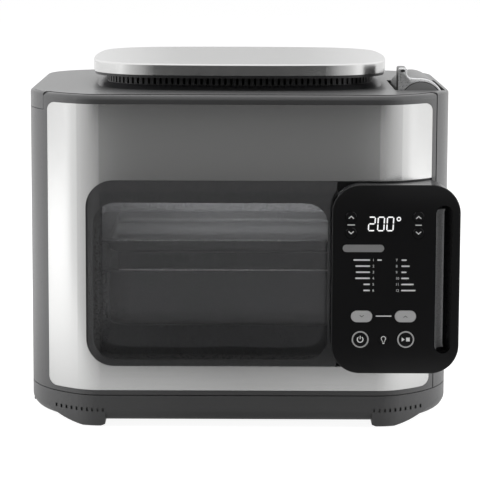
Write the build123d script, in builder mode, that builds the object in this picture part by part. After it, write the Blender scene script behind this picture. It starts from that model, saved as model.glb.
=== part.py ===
"""Countertop convection oven with a door hinged at its left side.

Frame: X to the right, Y to the back, Z up, in millimetres. The origin is on the surface that the
oven stands on, under the middle of the body. Every name below is a real size or a real place.
"""

import os
from math import cos, radians, sin, sqrt

from build123d import *

# Body plan: a flat front, corners of three tangent arcs and round back corners
half_width = 210.5
front_y = -169.0
back_y = 189.0
nose_radius = 44.0
flank_radius = 104.0
heel_radius = 71.0
nose_turn = 30.0
flank_turn = 80.0
rear_radius = 70.0

# Levels of the body
base_bottom = 6.0
base_top = 31.9
door_lift = 0.8
door_bottom = base_top + door_lift
cover_top = 329.6
wall = 2.5
snug = 0.2
seam = 0.9

# Door: thickness, right edge and rim around the cover
door_thickness = 42.0
door_back_y = front_y + door_thickness
door_right_inset = 15.8
door_right_x = half_width - door_right_inset
door_top_drop = 0.6
door_top = cover_top - door_top_drop
door_wall = 6.0
rim_width = 6.0
rim_radius = 5.0
rim_corner = 3.0
cover_edge = 3.5
wing_wall = 8.0
pocket_inset = 27.5
pocket_left_x = pocket_inset - half_width
door_margin = 4.3
frame_front_gap = 1.0

# Hinge at the left
hinge_inset = 5.5
hinge_x = hinge_inset - half_width
hinge_behind_door = 46.0
hinge_y = door_back_y + hinge_behind_door
barrel_radius = 8.0
barrel_gap = 0.8
pin_radius = 2.5
pin_clearance = 0.05
pin_length = 26.0
pin_engagement = 13.0
hinge_block_radius = 50.4
hinge_block_height = 17.4
hinge_block_bottom = cover_top - hinge_block_height
notch_gap = 0.5
washer_radius = 5.2

# Steel skin of the door and its window
skin_thickness = 1.0
skin_left_inset = 21.0
skin_left_x = skin_left_inset - half_width
skin_right_inset = 20.3
skin_right_x = half_width - skin_right_inset
skin_rise = 4.8
skin_bottom = door_bottom + skin_rise
skin_drop = 8.7
skin_top = door_top - skin_drop
skin_corner = 8.0
opening_inset = 60.2
opening_left_x = opening_inset - half_width
opening_bottom = 61.7
opening_height = 184.3
opening_top = opening_bottom + opening_height
opening_corner = 27.0
fit_gap = 0.3
glass_thickness = 3.4
print_left = 7.3
print_bottom = 6.0
print_top = 22.3
print_right = 3.1
glass_under_panel = 5.4
clear_corner = 22.0

# Inner side of the door
liner_sheet = 1.5
door_liner_inset = 31.5
door_liner_half_width = half_width - door_liner_inset
door_liner_rise = 7.3
door_liner_bottom = door_bottom + door_liner_rise
door_liner_drop = 4.2
door_liner_top = hinge_block_bottom - door_liner_drop
inner_glass_thickness = 4.0
inner_glass_margin = 10.0
inner_window_inset = 14.0
inner_window_drop = 18.0
boss_radius = 4.0
boss_hole_radius = 1.6
boss_inset = 8.0
boss_end_inset = 10.0
gasket_width = 5.0
gasket_gap = 0.4

# Control panel on the door
panel_stand_off = 20.0
panel_face_y = front_y - panel_stand_off
panel_thickness = 5.0
panel_back_y = panel_face_y + panel_thickness
panel_overhang = 4.1
panel_right_x = half_width + panel_overhang
panel_width = 124.5
panel_left_x = panel_right_x - panel_width
panel_drop = 2.5
panel_bottom = opening_bottom - panel_drop
panel_height = 185.6
panel_top = panel_bottom + panel_height
panel_corner = 28.0
panel_edge = 1.0
housing_inset = 0.6
housing_left_inset = 6.4
housing_left_x = panel_left_x + housing_left_inset
housing_in_door = 6.0
housing_back_y = door_back_y - housing_in_door
housing_wall = 2.5
neck_side = ((2.1, 0.0), (4.6, 8.0), (19.6, 37.0), (24.9, 45.0))
electronics_inset = 28.6
slot_inset = 7.9
slot_span = 15.7
slot_end_inset = 20.0
grip_depth = 21.0
grip_floor_insets = (20.1, 15.6)
grip_bend_inset = 11.1
grip_bend_depth = 14.0
board_depth = 8.0
board_thickness = 1.6
board_left_inset = 9.9
board_right_inset = 30.6
board_end_inset = 9.0
board_margin = 5.0
board_post_levels = (76.8, 124.8)
board_corner = 16.0
display_place = (49.7, 147.6)
display_size = (44.0, 20.0)

# Buttons: place from the panel's lower left corner, and size as (width, height)
button_proud = 0.3
button_gap = 0.3
button_flange = 1.2
button_flange_thickness = 1.1
button_travel = 1.2
switch_radius = 2.0
nearly_half = 0.499
buttons = {
    "power_button": (28.3, 33.8, 17.0, 17.0),
    "light_button": (51.0, 33.9, 10.0, 10.0),
    "start_button": (72.7, 33.9, 17.0, 17.0),
    "function_down_button": (29.5, 56.6, 20.5, 11.4),
    "function_up_button": (72.2, 56.7, 20.5, 11.4),
    "temp_up_button": (18.4, 154.3, 11.0, 11.0),
    "temp_down_button": (18.4, 138.6, 11.0, 11.0),
    "time_up_button": (83.7, 154.4, 11.0, 11.0),
    "time_down_button": (83.7, 138.5, 11.0, 11.0),
}

# Cavity and what is around it
cavity_side_gap = 60.5
cavity_half_width = half_width - cavity_side_gap
cavity_back_gap = 58.0
cavity_back_y = back_y - cavity_back_gap
cavity_rise = 20.1
cavity_floor = base_top + cavity_rise
cavity_drop = 71.6
cavity_ceiling = cover_top - cavity_drop
cavity_corner = 12.0
liner_wall = 1.0
tray_step = 30.0
rail_steps = (-50.0, 0.0, tray_step, 2 * tray_step)
rail_height = 3.0
rail_depth = 10.0
rail_end_gap = 12.0
door_gap = 3.0
frame_y = door_back_y + door_gap
frame_sheet = 1.5
frame_left_inset = 26.5
frame_left_x = frame_left_inset - half_width
insulation_thickness = 8.0
insulation_gap = 0.2

# Fan, motor and heaters
fan_shift = 1.5
fan_y = (frame_y + cavity_back_y) / 2 + fan_shift
fan_radius = 52.0
fan_blades = 12
fan_drop = 9.0
fan_bottom = cavity_ceiling - fan_drop
fan_height = 6.5
blade_thickness = 1.2
blade_start = 8.0
blade_end_gap = 4.0
fan_hub_radius = 9.0
shaft_radius = 3.0
shaft_clearance = 0.05
shaft_hole_radius = 6.0
shaft_below_fan = 1.4
shaft_above_motor = 21.3
guard_radius = 92.0
guard_drop = 12.5
guard_z = cavity_ceiling - guard_drop
guard_sheet = 1.0
guard_rings = 5
guard_ring_holes = 7
guard_hole_pitch = 14.0
guard_hole_radius = 2.6
element_radius = 3.2
upper_element_rings = (63.0, 76.0)
bracket_sheet = 1.5
bracket_half_width = 70.0
motor_radius = 30.0
motor_height = 26.0
motor_edge = 3.0
cooler_radius = 60.0
cooler_blades = 9
cooler_height = 9.0
lower_element_radius = 3.2
lower_element_inset = 40.0
lower_element_half_width = cavity_half_width - lower_element_inset
lower_element_back_margin = 20.0
lower_element_front_margin = 40.0
lower_element_bend = 30.0
reflector_depth = 12.0

# Pan and tray that the cavity holds
pan_rim_rise = 96.0
pan_rim = cavity_floor + pan_rim_rise
pan_depth = 58.0
pan_side_gap = 3.0
pan_front_gap = 20.0
pan_back_gap = 13.0
pan_corner = 24.0
pan_wall = 1.5
pan_flange = 13.0
pan_lip = 4.0
pan_round = 8.0
tray_rim = pan_rim + tray_step
tray_depth = 13.0
tray_corner = 20.0

# Lamp and probe
lamp_from_back = 61.0
lamp_drop = 36.0
lamp_radius = 20.0
lamp_depth = 30.0
lamp_rim = 3.0
lamp_flange = 2.0
lamp_socket_radius = 6.0
probe_x = 60.0
probe_drop = 20.0
probe_radius = 2.0
probe_length = 22.0

# Raised steel cap and the slotted ring that carries it
cap_side_inset = 58.5
cap_half_width = half_width - cap_side_inset
cap_front_inset = 50.5
cap_back_inset = 13.5
cap_half_depth = (back_y - front_y - cap_front_inset - cap_back_inset) / 2
cap_y = (front_y + cap_front_inset + back_y - cap_back_inset) / 2
cap_bulge_x = 12.0
cap_bulge_y = 15.0
cap_corner = 72.0
cap_height = 11.4
cap_edge = 1.6
cap_rise = 15.0
cap_bottom = cover_top + cap_rise
cap_top = cap_bottom + cap_height
cap_sheet = 1.2
lip_height = 2.8
ring_inset = 13.0
ring_wall = 2.0
flare_width = 9.0
flare_height = 4.5
slot_width = 2.5
slot_count = 160
slot_rise = 5.0
slot_height = 6.4

# Vent lever at the top right
lever_inset = 30.0
lever_x = half_width - lever_inset
lever_drop = 12.3
lever_z = cover_top - lever_drop
drum_radius = 24.0
drum_wall = 2.2
drum_setback = 70.0
drum_front_y = front_y + drum_setback
drum_length = 130.0
drum_back_y = drum_front_y + drum_length
drum_low_angle = 25.0
lever_plate = 3.0
fin_left = -24.5
fin_right = -15.5
fin_top = 35.2
fin_depth = 30.0
fin_low = 8.0
lever_pin_radius = 2.0
lever_pin_fit = 0.02
lever_hub_radius = 5.5
lever_side_gap = 0.8
lever_slot_gap = 1.3
bracket_plate = 2.0
bracket_gap = 0.6
bracket_drop = 17.3
bracket_width = 30.0

# Base, pods and feet
base_round = 13.0
base_floor = 12.0
upstand_height = 6.0
base_wall = 5.2
pod_outer_inset = 20.5
pod_outer_x = half_width - pod_outer_inset
pod_outer_z = 14.5
pod_width = 58.0
pod_inner_x = pod_outer_x - pod_width
pod_depth = 65.0
pod_back_y = front_y + pod_depth
pod_bottom = 1.6
pod_flat_start = 4.0
pod_flat_end = 22.0
pod_flat = (pod_inner_x + pod_flat_start, pod_inner_x + pod_flat_end)
pod_drop = 7.9
pod_top = base_top - pod_drop
vent_count = 10
vent_pitch = 5.3
vent_middle_inset = 52.5
vent_middle_x = half_width - vent_middle_inset
vent_z = 17.6
vent_size = (1.9, 3.6)
vent_depth = 2.0
foot_radius = 8.0
foot_inset = 66.5
foot_x = half_width - foot_inset
foot_setback = 25.0
foot_front_y = front_y + foot_setback
foot_rear_inset = 70.5
foot_rear_x = half_width - foot_rear_inset
foot_rear_gap = 59.0
foot_rear_y = back_y - foot_rear_gap
foot_recess = 1.5
floor_slot_y = 20.0
floor_slot_pitch = 14.0
floor_slot_rows = 90.0
floor_slot_count = 14
floor_slot_size = (4.0, 50.0)

# Back panel, cord gland and screws
back_side_inset = 78.5
back_half_width = half_width - back_side_inset
back_rise = 12.1
back_bottom = base_top + back_rise
back_drop = 17.6
back_top = cover_top - back_drop
back_overlap = 8.0
back_sheet = 1.5
louvre_count = 9
louvre_length = 90.0
louvre_height = 4.0
louvre_pitch = 12.0
louvre_gap = 16.0
gland_inset = 27.0
gland_x = back_half_width - gland_inset
gland_rise = 22.0
gland_z = back_bottom + gland_rise
gland_radius = 8.0
gland_bore = 3.6
gland_flange = 11.0
gland_flange_depth = 3.0
gland_length = 9.0
screw_radius = 1.5
screw_head_radius = 3.2
screw_head_height = 2.0
screw_length = 9.0

power_board_size = (70.0, 110.0)
power_board_place = (85.0, 40.0)
power_board_standoff = 4.0
board_post_radius = 3.0
board_post_inset = 5.0
transformer_size = (40.0, 30.0, 14.0)
transformer_offset = 25.0
capacitor_radius = 5.0
capacitor_height = 12.0
capacitor_pitch = 24.0
capacitor_offset = -20.0
support_post_radius = 5.0
support_inset = 90.5
support_posts = (half_width - support_inset, 100.0)
magnet_size = (9.0, 7.0, 42.0)
magnet_drop = 28.0
keeper_thickness = 0.8


def corner_arcs():
    """Right front corner of the plan: three arcs that turn from the flat front to the side."""
    turns = (0.0, nose_turn, flank_turn, 90.0)
    radii = (nose_radius, flank_radius, heel_radius)
    reach = sum(
        r * (sin(radians(b)) - sin(radians(a))) for r, a, b in zip(radii, turns, turns[1:])
    )
    start = (half_width - reach, front_y)
    centre = (start[0], start[1] + nose_radius)
    for index, radius in enumerate(radii):
        CenterArc(centre, radius, turns[index] - 90, turns[index + 1] - turns[index])
        if index + 1 < len(radii):
            shift = radius - radii[index + 1]
            angle = radians(turns[index + 1])
            centre = (centre[0] + shift * sin(angle), centre[1] - shift * cos(angle))
    return start, (half_width, centre[1])


def body_plan(inset=0.0):
    """Plan of the whole body, set in by a margin all round."""
    with BuildSketch() as plan:
        with BuildLine():
            start, end = corner_arcs()
            Line((0, front_y), start)
            Line(end, (half_width, back_y - rear_radius))
            CenterArc((half_width - rear_radius, back_y - rear_radius), rear_radius, 0, 90)
            Line((half_width - rear_radius, back_y), (0, back_y))
            mirror(about=Plane.YZ)
        make_face()
        if inset:
            offset(amount=-inset, mode=Mode.REPLACE)
    return plan.sketch


def shoulder_form(top, radius):
    """The whole body's outer form up to one level, with its top edge rounded."""
    with BuildPart() as form:
        with BuildSketch():
            add(body_plan())
        extrude(amount=top)
        fillet(form.faces().sort_by(Axis.Z)[-1].edges(), radius=radius)
    return form.part


def cap_plan(inset=0.0):
    """Plan of the raised steel cap, a rectangle with bowed sides and round corners."""
    x = cap_half_width - cap_bulge_x - inset
    y = cap_half_depth - cap_bulge_y - inset
    with BuildSketch() as plan:
        with BuildLine():
            SagittaArc((-x, cap_y - y), (x, cap_y - y), -cap_bulge_y)
            SagittaArc((x, cap_y - y), (x, cap_y + y), -cap_bulge_x)
            SagittaArc((x, cap_y + y), (-x, cap_y + y), -cap_bulge_y)
            SagittaArc((-x, cap_y + y), (-x, cap_y - y), -cap_bulge_x)
        make_face()
        fillet(plan.vertices(), radius=cap_corner - inset)
    return plan.sketch


def facing_front(y):
    """Plane parallel to the front at one y: its X is the oven's X and its Y is the oven's Z."""
    return Plane.XZ.offset(-y)


def block(x, y, z, mode=Mode.ADD):
    """Box between two values along each axis."""
    middle = [(low + high) / 2 for low, high in (x, y, z)]
    with Locations(tuple(middle)):
        Box(x[1] - x[0], y[1] - y[0], z[1] - z[0], mode=mode)


def upright(place, radius, z, mode=Mode.ADD):
    """Vertical cylinder between two levels."""
    with Locations((place[0], place[1], (z[0] + z[1]) / 2)):
        Cylinder(radius, z[1] - z[0], mode=mode)


def level_rod(place, radius, y, mode=Mode.ADD):
    """Cylinder along Y at place (x, z)."""
    with BuildSketch(facing_front(y[0])) as section:
        with Locations(place):
            Circle(radius)
    extrude(section.sketch, amount=y[0] - y[1], mode=mode)


def rounded_window(x, z, radius):
    """Rounded rectangle in the front plane between two values of x and of z."""
    with Locations(((x[0] + x[1]) / 2, (z[0] + z[1]) / 2)):
        RectangleRounded(x[1] - x[0], z[1] - z[0], radius)


def pill(width, height):
    """Rectangle with fully round ends, which is a disc where its two sizes are the same."""
    RectangleRounded(width, height, nearly_half * min(width, height))


def finish(shape, name):
    """Labels a finished piece and writes it."""
    shape.label = name
    export_step(shape, f"parts/{name}.step")


os.makedirs("parts", exist_ok=True)

# Places worked out from the sizes above; the cutters run a little past the faces that they cut
far = 300.0
past = 1.0
body_front_y = door_back_y + frame_front_gap
body_right_x = door_right_x + frame_front_gap
hinge_place = (hinge_x, hinge_y)
far = 300.0
clear_of_barrel = barrel_radius + barrel_gap
cover_underside = cover_top - wall
ring_hole_inset = ring_inset + ring_wall
liner_back_y = cavity_back_y + liner_wall
insulation_inner_x = cavity_half_width + liner_wall + insulation_gap
insulation_top = cavity_ceiling + liner_wall + insulation_gap + insulation_thickness
reflector_bottom = cavity_floor - liner_wall - reflector_depth
bottom_pin_base = door_bottom + pin_engagement - pin_length
top_pin_base = hinge_block_bottom - notch_gap - pin_engagement
pan_half_width = cavity_half_width - pan_side_gap - pan_flange
pan_front_y = frame_y + pan_front_gap
pan_back_y = cavity_back_y - pan_back_gap
pan_middle_y = (pan_front_y + pan_back_y) / 2
pan_length = pan_back_y - pan_front_y
housing_bottom = opening_bottom + fit_gap
housing_top = panel_top - housing_inset
housing_side = [(panel_right_x - inset, panel_back_y + depth) for inset, depth in neck_side]
electronics_right_x = panel_right_x - electronics_inset
slot_right_x = panel_right_x - slot_inset
slot_left_x = slot_right_x - slot_span
slot_bottom = panel_bottom + slot_end_inset
slot_top = panel_top - slot_end_inset
grip_floor_y = panel_back_y + grip_depth
grip_floor_x = [panel_right_x - inset for inset in grip_floor_insets]
grip_bend = (panel_right_x - grip_bend_inset, panel_back_y + grip_bend_depth)
board_y = panel_back_y + board_depth
board_left_x = panel_left_x + board_left_inset
board_right_x = panel_right_x - board_right_inset
glass_right_x = panel_left_x + glass_under_panel
clear_left_x = opening_left_x + print_left
clear_right_x = panel_left_x - print_right
clear_bottom = opening_bottom + print_bottom
clear_top = opening_top - print_top
inner_window_half_width = cavity_half_width - inner_window_inset
inner_window_bottom = cavity_floor + inner_window_inset
inner_window_top = cavity_ceiling - inner_window_drop
boss_x = door_liner_half_width - boss_inset
boss_low = door_liner_bottom + boss_end_inset
boss_high = door_liner_top - boss_end_inset
boss_middle = (boss_low + boss_high) / 2
shaft_bottom = fan_bottom - shaft_below_fan
shaft_top = insulation_top + bracket_sheet + motor_height + shaft_above_motor
lamp_place = (cavity_back_y - lamp_from_back, cavity_ceiling - lamp_drop)
probe_place = (probe_x, cavity_ceiling - probe_drop)
magnet_x = (insulation_inner_x + insulation_thickness + door_liner_half_width) / 2
magnet_z = cavity_ceiling - magnet_drop
bracket_foot_z = lever_z - bracket_drop
door_liner_y = door_back_y - liner_sheet
screw_x = back_half_width - back_overlap / 2
screw_levels = (
    back_bottom + back_overlap / 2,
    (back_bottom + back_top) / 2,
    back_top - back_overlap / 2,
)
screw_places = [(side * screw_x, level) for side in (-1, 1) for level in screw_levels]
board_bosses = [
    (x, z)
    for x in (board_left_x + board_margin, board_right_x - board_margin)
    for z in [panel_bottom + level for level in board_post_levels]
]

# The two front pods, each curved up towards the side
with BuildPart() as pods:
    with BuildSketch(facing_front(front_y)):
        with BuildLine():
            Line((pod_inner_x, pod_top), (pod_inner_x, 2 * pod_bottom))
            Line((pod_inner_x, 2 * pod_bottom), (pod_flat[0], pod_bottom))
            Line((pod_flat[0], pod_bottom), (pod_flat[1], pod_bottom))
            SagittaArc((pod_flat[1], pod_bottom), (pod_outer_x, pod_outer_z), -pod_bottom)
            Line((pod_outer_x, pod_outer_z), (pod_outer_x, pod_top))
            Line((pod_outer_x, pod_top), (pod_inner_x, pod_top))
        make_face()
        mirror(about=Plane.YZ)
    extrude(amount=front_y - pod_back_y)
    with BuildSketch(Plane.XY):
        add(body_plan())
    extrude(amount=pod_top, mode=Mode.INTERSECT)

# The small vents in the pods' faces, as the pieces that they take away
with BuildPart() as pod_vents:
    with BuildSketch(facing_front(front_y - past)):
        with Locations((-vent_middle_x, vent_z), (vent_middle_x, vent_z)):
            with GridLocations(vent_pitch, 1, vent_count, 1):
                Rectangle(*vent_size)
    extrude(amount=front_y - pod_back_y)
    with BuildSketch(Plane.XY):
        add(body_plan(-past))
        add(body_plan(vent_depth), mode=Mode.SUBTRACT)
    extrude(amount=pod_top, mode=Mode.INTERSECT)

# Base tray: skirt rounded under, pods, floor, upstand and hinge boss
with BuildPart() as base_tray:
    with BuildSketch(Plane.XY.offset(base_bottom)):
        add(body_plan())
    extrude(amount=base_top - base_bottom)
    fillet(base_tray.faces().sort_by(Axis.Z)[0].edges(), radius=base_round)
    add(pods.part)
    add(pod_vents.part, mode=Mode.SUBTRACT)
    with BuildSketch(Plane.XY.offset(base_floor)):
        add(body_plan(base_wall))
    extrude(amount=base_top - wall - base_floor, mode=Mode.SUBTRACT)
    with BuildSketch(Plane.XY.offset(base_floor)):
        add(body_plan(base_wall))
        with Locations((0, frame_y - far / 2)):
            Rectangle(2 * far, far, mode=Mode.SUBTRACT)
    extrude(amount=far, mode=Mode.SUBTRACT)
    with BuildSketch(Plane.XY.offset(base_top - wall)):
        add(body_plan(wall + snug))
        add(body_plan(base_wall), mode=Mode.SUBTRACT)
        with Locations((0, frame_y + base_wall - far / 2)):
            Rectangle(2 * far, far, mode=Mode.SUBTRACT)
        with Locations((-far, hinge_y - far)):
            Rectangle(2 * far, 2 * far, mode=Mode.SUBTRACT)
        with Locations(hinge_place):
            Circle(clear_of_barrel + wall, mode=Mode.SUBTRACT)
    extrude(amount=upstand_height + wall)
    with BuildSketch(Plane.XY.offset(base_floor - past)):
        with Locations(hinge_place):
            Circle(clear_of_barrel)
        add(body_plan(1.0), mode=Mode.INTERSECT)
    extrude(amount=base_top - base_floor + past)
    upright(hinge_place, pin_radius + pin_clearance / 2, (bottom_pin_base, far), Mode.SUBTRACT)
    with Locations((0, 0, base_floor - past)):
        with GridLocations(2 * support_posts[0], 2 * support_posts[1], 2, 2):
            Cylinder(
                support_post_radius,
                reflector_bottom - base_floor + past,
                align=(Align.CENTER, Align.CENTER, Align.MIN),
            )
    with Locations((*power_board_place, base_floor - past)):
        with GridLocations(
            power_board_size[0] - 2 * board_post_inset, power_board_size[1] - 2 * board_post_inset, 2, 2
        ):
            Cylinder(
                board_post_radius,
                power_board_standoff + past,
                align=(Align.CENTER, Align.CENTER, Align.MIN),
            )
    with Locations((0, floor_slot_y, base_bottom)):
        with GridLocations(floor_slot_pitch, floor_slot_rows, floor_slot_count, 2):
            Box(*floor_slot_size, 3 * base_floor, mode=Mode.SUBTRACT)
    for x in (-foot_x, foot_x):
        upright((x, foot_front_y), foot_radius, (-past, pod_bottom + foot_recess), Mode.SUBTRACT)
    for x in (-foot_rear_x, foot_rear_x):
        upright((x, foot_rear_y), foot_radius, (-past, base_bottom + foot_recess), Mode.SUBTRACT)
finish(base_tray.part, "base_tray")

# Four rubber feet, seated in the base's recesses
with BuildPart() as foot_pads:
    for x in (-foot_x, foot_x):
        upright((x, foot_front_y), foot_radius - snug, (0, pod_bottom + foot_recess))
    for x in (-foot_rear_x, foot_rear_x):
        upright((x, foot_rear_y), foot_radius - snug, (0, base_bottom + foot_recess))
finish(foot_pads.part, "foot_pads")

# Outer housing: sides, back and top in one moulding, with the block that holds the door's top pin
with BuildPart() as outer_housing:
    with BuildSketch(Plane.XY.offset(door_bottom)):
        add(body_plan())
        add(body_plan(wall), mode=Mode.SUBTRACT)
        with Locations((body_right_x - far, body_front_y - far)):
            Rectangle(2 * far, 2 * far, mode=Mode.SUBTRACT)
        with Locations((-far, hinge_y - far)):
            Rectangle(2 * far, 2 * far, mode=Mode.SUBTRACT)
        with Locations(hinge_place):
            Circle(clear_of_barrel, mode=Mode.SUBTRACT)
    extrude(amount=cover_underside - door_bottom)
    with BuildSketch(Plane.XY.offset(cover_underside)):
        add(body_plan())
        with Locations((body_right_x - far, body_front_y - far)):
            Rectangle(2 * far, 2 * far, mode=Mode.SUBTRACT)
        add(body_plan(rim_width + seam))
    extrude(amount=wall)
    with BuildSketch(Plane.XY.offset(hinge_block_bottom)):
        with Locations(hinge_place):
            Circle(hinge_block_radius)
        add(body_plan(), mode=Mode.INTERSECT)
        add(body_plan(2 * clear_of_barrel), mode=Mode.SUBTRACT)
    extrude(amount=cover_top - hinge_block_bottom)
    add(shoulder_form(cover_top, cover_edge), mode=Mode.INTERSECT)
    with BuildSketch(Plane.XY.offset(cover_underside - past)):
        add(cap_plan(ring_hole_inset))
    extrude(amount=wall + 2 * past, mode=Mode.SUBTRACT)
    block(
        (lever_x + fin_left - lever_side_gap, lever_x + drum_radius + lever_side_gap),
        (drum_front_y - lever_slot_gap, drum_back_y + lever_slot_gap),
        (cover_underside - past, cover_top + past),
        Mode.SUBTRACT,
    )
    block(
        (back_overlap - back_half_width, back_half_width - back_overlap),
        (back_y - wall - past, back_y + past),
        (back_bottom + back_overlap, back_top - back_overlap),
        Mode.SUBTRACT,
    )
    upright(
        hinge_place,
        pin_radius + pin_clearance / 2,
        (hinge_block_bottom - past, top_pin_base + pin_length),
        Mode.SUBTRACT,
    )
    with BuildSketch(facing_front(back_y - wall - past)):
        with Locations(*screw_places):
            Circle(screw_radius + snug)
    extrude(amount=-wall - 2 * past, mode=Mode.SUBTRACT)
finish(outer_housing.part, "outer_housing")

# Back panel with rows of louvres and the hole for the cord gland
with BuildPart() as back_panel:
    with BuildSketch(facing_front(back_y - wall - back_sheet)):
        with Locations((0, (back_bottom + back_top) / 2)):
            Rectangle(2 * back_half_width, back_top - back_bottom)
            with GridLocations(louvre_length + louvre_gap, louvre_pitch, 2, louvre_count):
                SlotOverall(louvre_length, louvre_height, mode=Mode.SUBTRACT)
        with Locations((gland_x, gland_z)):
            Circle(gland_radius + snug, mode=Mode.SUBTRACT)
        with Locations(*screw_places):
            Circle(screw_radius + snug, mode=Mode.SUBTRACT)
    extrude(amount=-back_sheet)
finish(back_panel.part, "back_panel")

# Cord gland: the bare inlet through the back panel
with BuildPart() as cord_gland:
    outer_face = back_y - wall
    level_rod((gland_x, gland_z), gland_radius, (outer_face - gland_length, outer_face + past))
    level_rod((gland_x, gland_z), gland_flange, (outer_face, outer_face + gland_flange_depth))
    level_rod(
        (gland_x, gland_z),
        gland_bore,
        (outer_face - 2 * gland_length, outer_face + 2 * gland_flange_depth),
        Mode.SUBTRACT,
    )
finish(cord_gland.part, "cord_gland")

# Slotted ring that lifts the steel cap and lets the warm air out
with BuildPart() as vent_ring:
    with BuildSketch(Plane.XY.offset(cover_top)):
        add(cap_plan(ring_inset - flare_width))
    with BuildSketch(Plane.XY.offset(cover_top + flare_height)):
        add(cap_plan(ring_inset))
    loft(ruled=True)
    with BuildSketch(Plane.XY.offset(cover_top + flare_height)):
        add(cap_plan(ring_inset))
    extrude(amount=cap_bottom - cover_top - flare_height)
    with BuildSketch(Plane.XY.offset(cap_bottom - lip_height)):
        add(cap_plan(cap_sheet))
    extrude(amount=lip_height)
    with BuildSketch(Plane.XY.offset(cover_top)):
        add(cap_plan(ring_hole_inset))
    extrude(amount=far, mode=Mode.SUBTRACT)
    ring_line = cap_plan(ring_inset + ring_wall / 2).face().outer_wire()
    slot_planes = [
        Plane(
            origin=ring_line @ (index / slot_count) + Vector(0, 0, cover_top + slot_rise + slot_height / 2),
            x_dir=ring_line % (index / slot_count),
            z_dir=(0, 0, 1),
        )
        for index in range(slot_count)
    ]
    with Locations(*slot_planes):
        Box(slot_width, 2 * ring_wall, slot_height, mode=Mode.SUBTRACT)
finish(vent_ring.part, "vent_ring")

# Pressed steel cap
with BuildPart() as steel_cap:
    with BuildSketch(Plane.XY.offset(cap_bottom)):
        add(cap_plan())
    extrude(amount=cap_top - cap_bottom)
    fillet(steel_cap.faces().sort_by(Axis.Z)[-1].edges(), radius=cap_edge)
    with BuildSketch(Plane.XY.offset(cap_bottom)):
        add(cap_plan(cap_sheet))
    extrude(amount=cap_top - cap_bottom - cap_sheet, mode=Mode.SUBTRACT)
finish(steel_cap.part, "steel_cap")

# Front frame: the face behind the door, with a return that closes the hinge side
with BuildPart() as front_frame:
    block(
        (frame_left_x, half_width),
        (frame_y, frame_y + frame_sheet),
        (base_top, cover_underside - snug),
    )
    block(
        (frame_left_x, frame_left_x + frame_sheet),
        (frame_y, hinge_y + clear_of_barrel + 2 * wall),
        (base_top, hinge_block_bottom - notch_gap),
    )
    block(
        (-half_width, frame_left_x + frame_sheet),
        (hinge_y + clear_of_barrel + 2 * wall, hinge_y + clear_of_barrel + 2 * wall + frame_sheet),
        (base_top + upstand_height + snug, hinge_block_bottom - notch_gap),
    )
    block(
        (-half_width, hinge_x + hinge_block_radius),
        (frame_y - past, hinge_y),
        (hinge_block_bottom - notch_gap, cover_top),
        Mode.SUBTRACT,
    )
    with BuildSketch(Plane.XY):
        add(body_plan(wall + snug))
    extrude(amount=cover_top, mode=Mode.INTERSECT)
    with BuildSketch(facing_front(frame_y - past)):
        rounded_window(
            (-cavity_half_width, cavity_half_width), (cavity_floor, cavity_ceiling), cavity_corner
        )
    extrude(amount=-frame_sheet - 2 * past, mode=Mode.SUBTRACT)
finish(front_frame.part, "front_frame")

# Cavity liner with pressed rails, and its holes for the shaft, lamp and probe
with BuildPart() as oven_liner:
    liner_x = cavity_half_width + liner_wall
    with BuildSketch(facing_front(frame_y + frame_sheet)):
        rounded_window(
            (-liner_x, liner_x),
            (cavity_floor - liner_wall, cavity_ceiling + liner_wall),
            cavity_corner + liner_wall,
        )
    extrude(amount=frame_y + frame_sheet - liner_back_y)
    with BuildSketch(facing_front(frame_y + frame_sheet)):
        rounded_window(
            (-cavity_half_width, cavity_half_width), (cavity_floor, cavity_ceiling), cavity_corner
        )
    extrude(amount=frame_y + frame_sheet - cavity_back_y, mode=Mode.SUBTRACT)
    for side in (-1, 1):
        for step in rail_steps:
            rail_top = pan_rim - pan_wall + step
            rail_x = sorted((side * (cavity_half_width - rail_depth), side * liner_x))
            block(
                tuple(rail_x),
                (frame_y + rail_end_gap, cavity_back_y - rail_end_gap),
                (rail_top - rail_height, rail_top),
            )
    upright(
        (0, fan_y),
        shaft_hole_radius,
        (cavity_ceiling - past, cavity_ceiling + liner_wall + past),
        Mode.SUBTRACT,
    )
    level_rod(
        probe_place,
        probe_radius + snug,
        (cavity_back_y - past, liner_back_y + past),
        Mode.SUBTRACT,
    )
    with BuildSketch(Plane.YZ.offset(cavity_half_width - past)):
        with Locations(lamp_place):
            Circle(lamp_radius - lamp_rim)
    extrude(amount=liner_wall + 2 * past, mode=Mode.SUBTRACT)
finish(oven_liner.part, "oven_liner")

# Insulation over the top, the sides and the back of the liner
with BuildPart() as insulation_wrap:
    block(
        (-insulation_inner_x - insulation_thickness, insulation_inner_x + insulation_thickness),
        (frame_y + frame_sheet, liner_back_y + insulation_gap + insulation_thickness),
        (cavity_floor - liner_wall, insulation_top),
    )
    block(
        (-insulation_inner_x, insulation_inner_x),
        (frame_y, liner_back_y + insulation_gap),
        (cavity_floor - liner_wall - past, insulation_top - insulation_thickness),
        Mode.SUBTRACT,
    )
    upright((0, fan_y), shaft_hole_radius, (cavity_ceiling, insulation_top + past), Mode.SUBTRACT)
    level_rod(
        probe_place,
        probe_radius + snug,
        (liner_back_y, liner_back_y + 2 * insulation_thickness),
        Mode.SUBTRACT,
    )
    with BuildSketch(Plane.YZ.offset(cavity_half_width)):
        with Locations(lamp_place):
            Circle(lamp_radius + snug)
    extrude(amount=2 * insulation_thickness, mode=Mode.SUBTRACT)
finish(insulation_wrap.part, "insulation_wrap")

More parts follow.
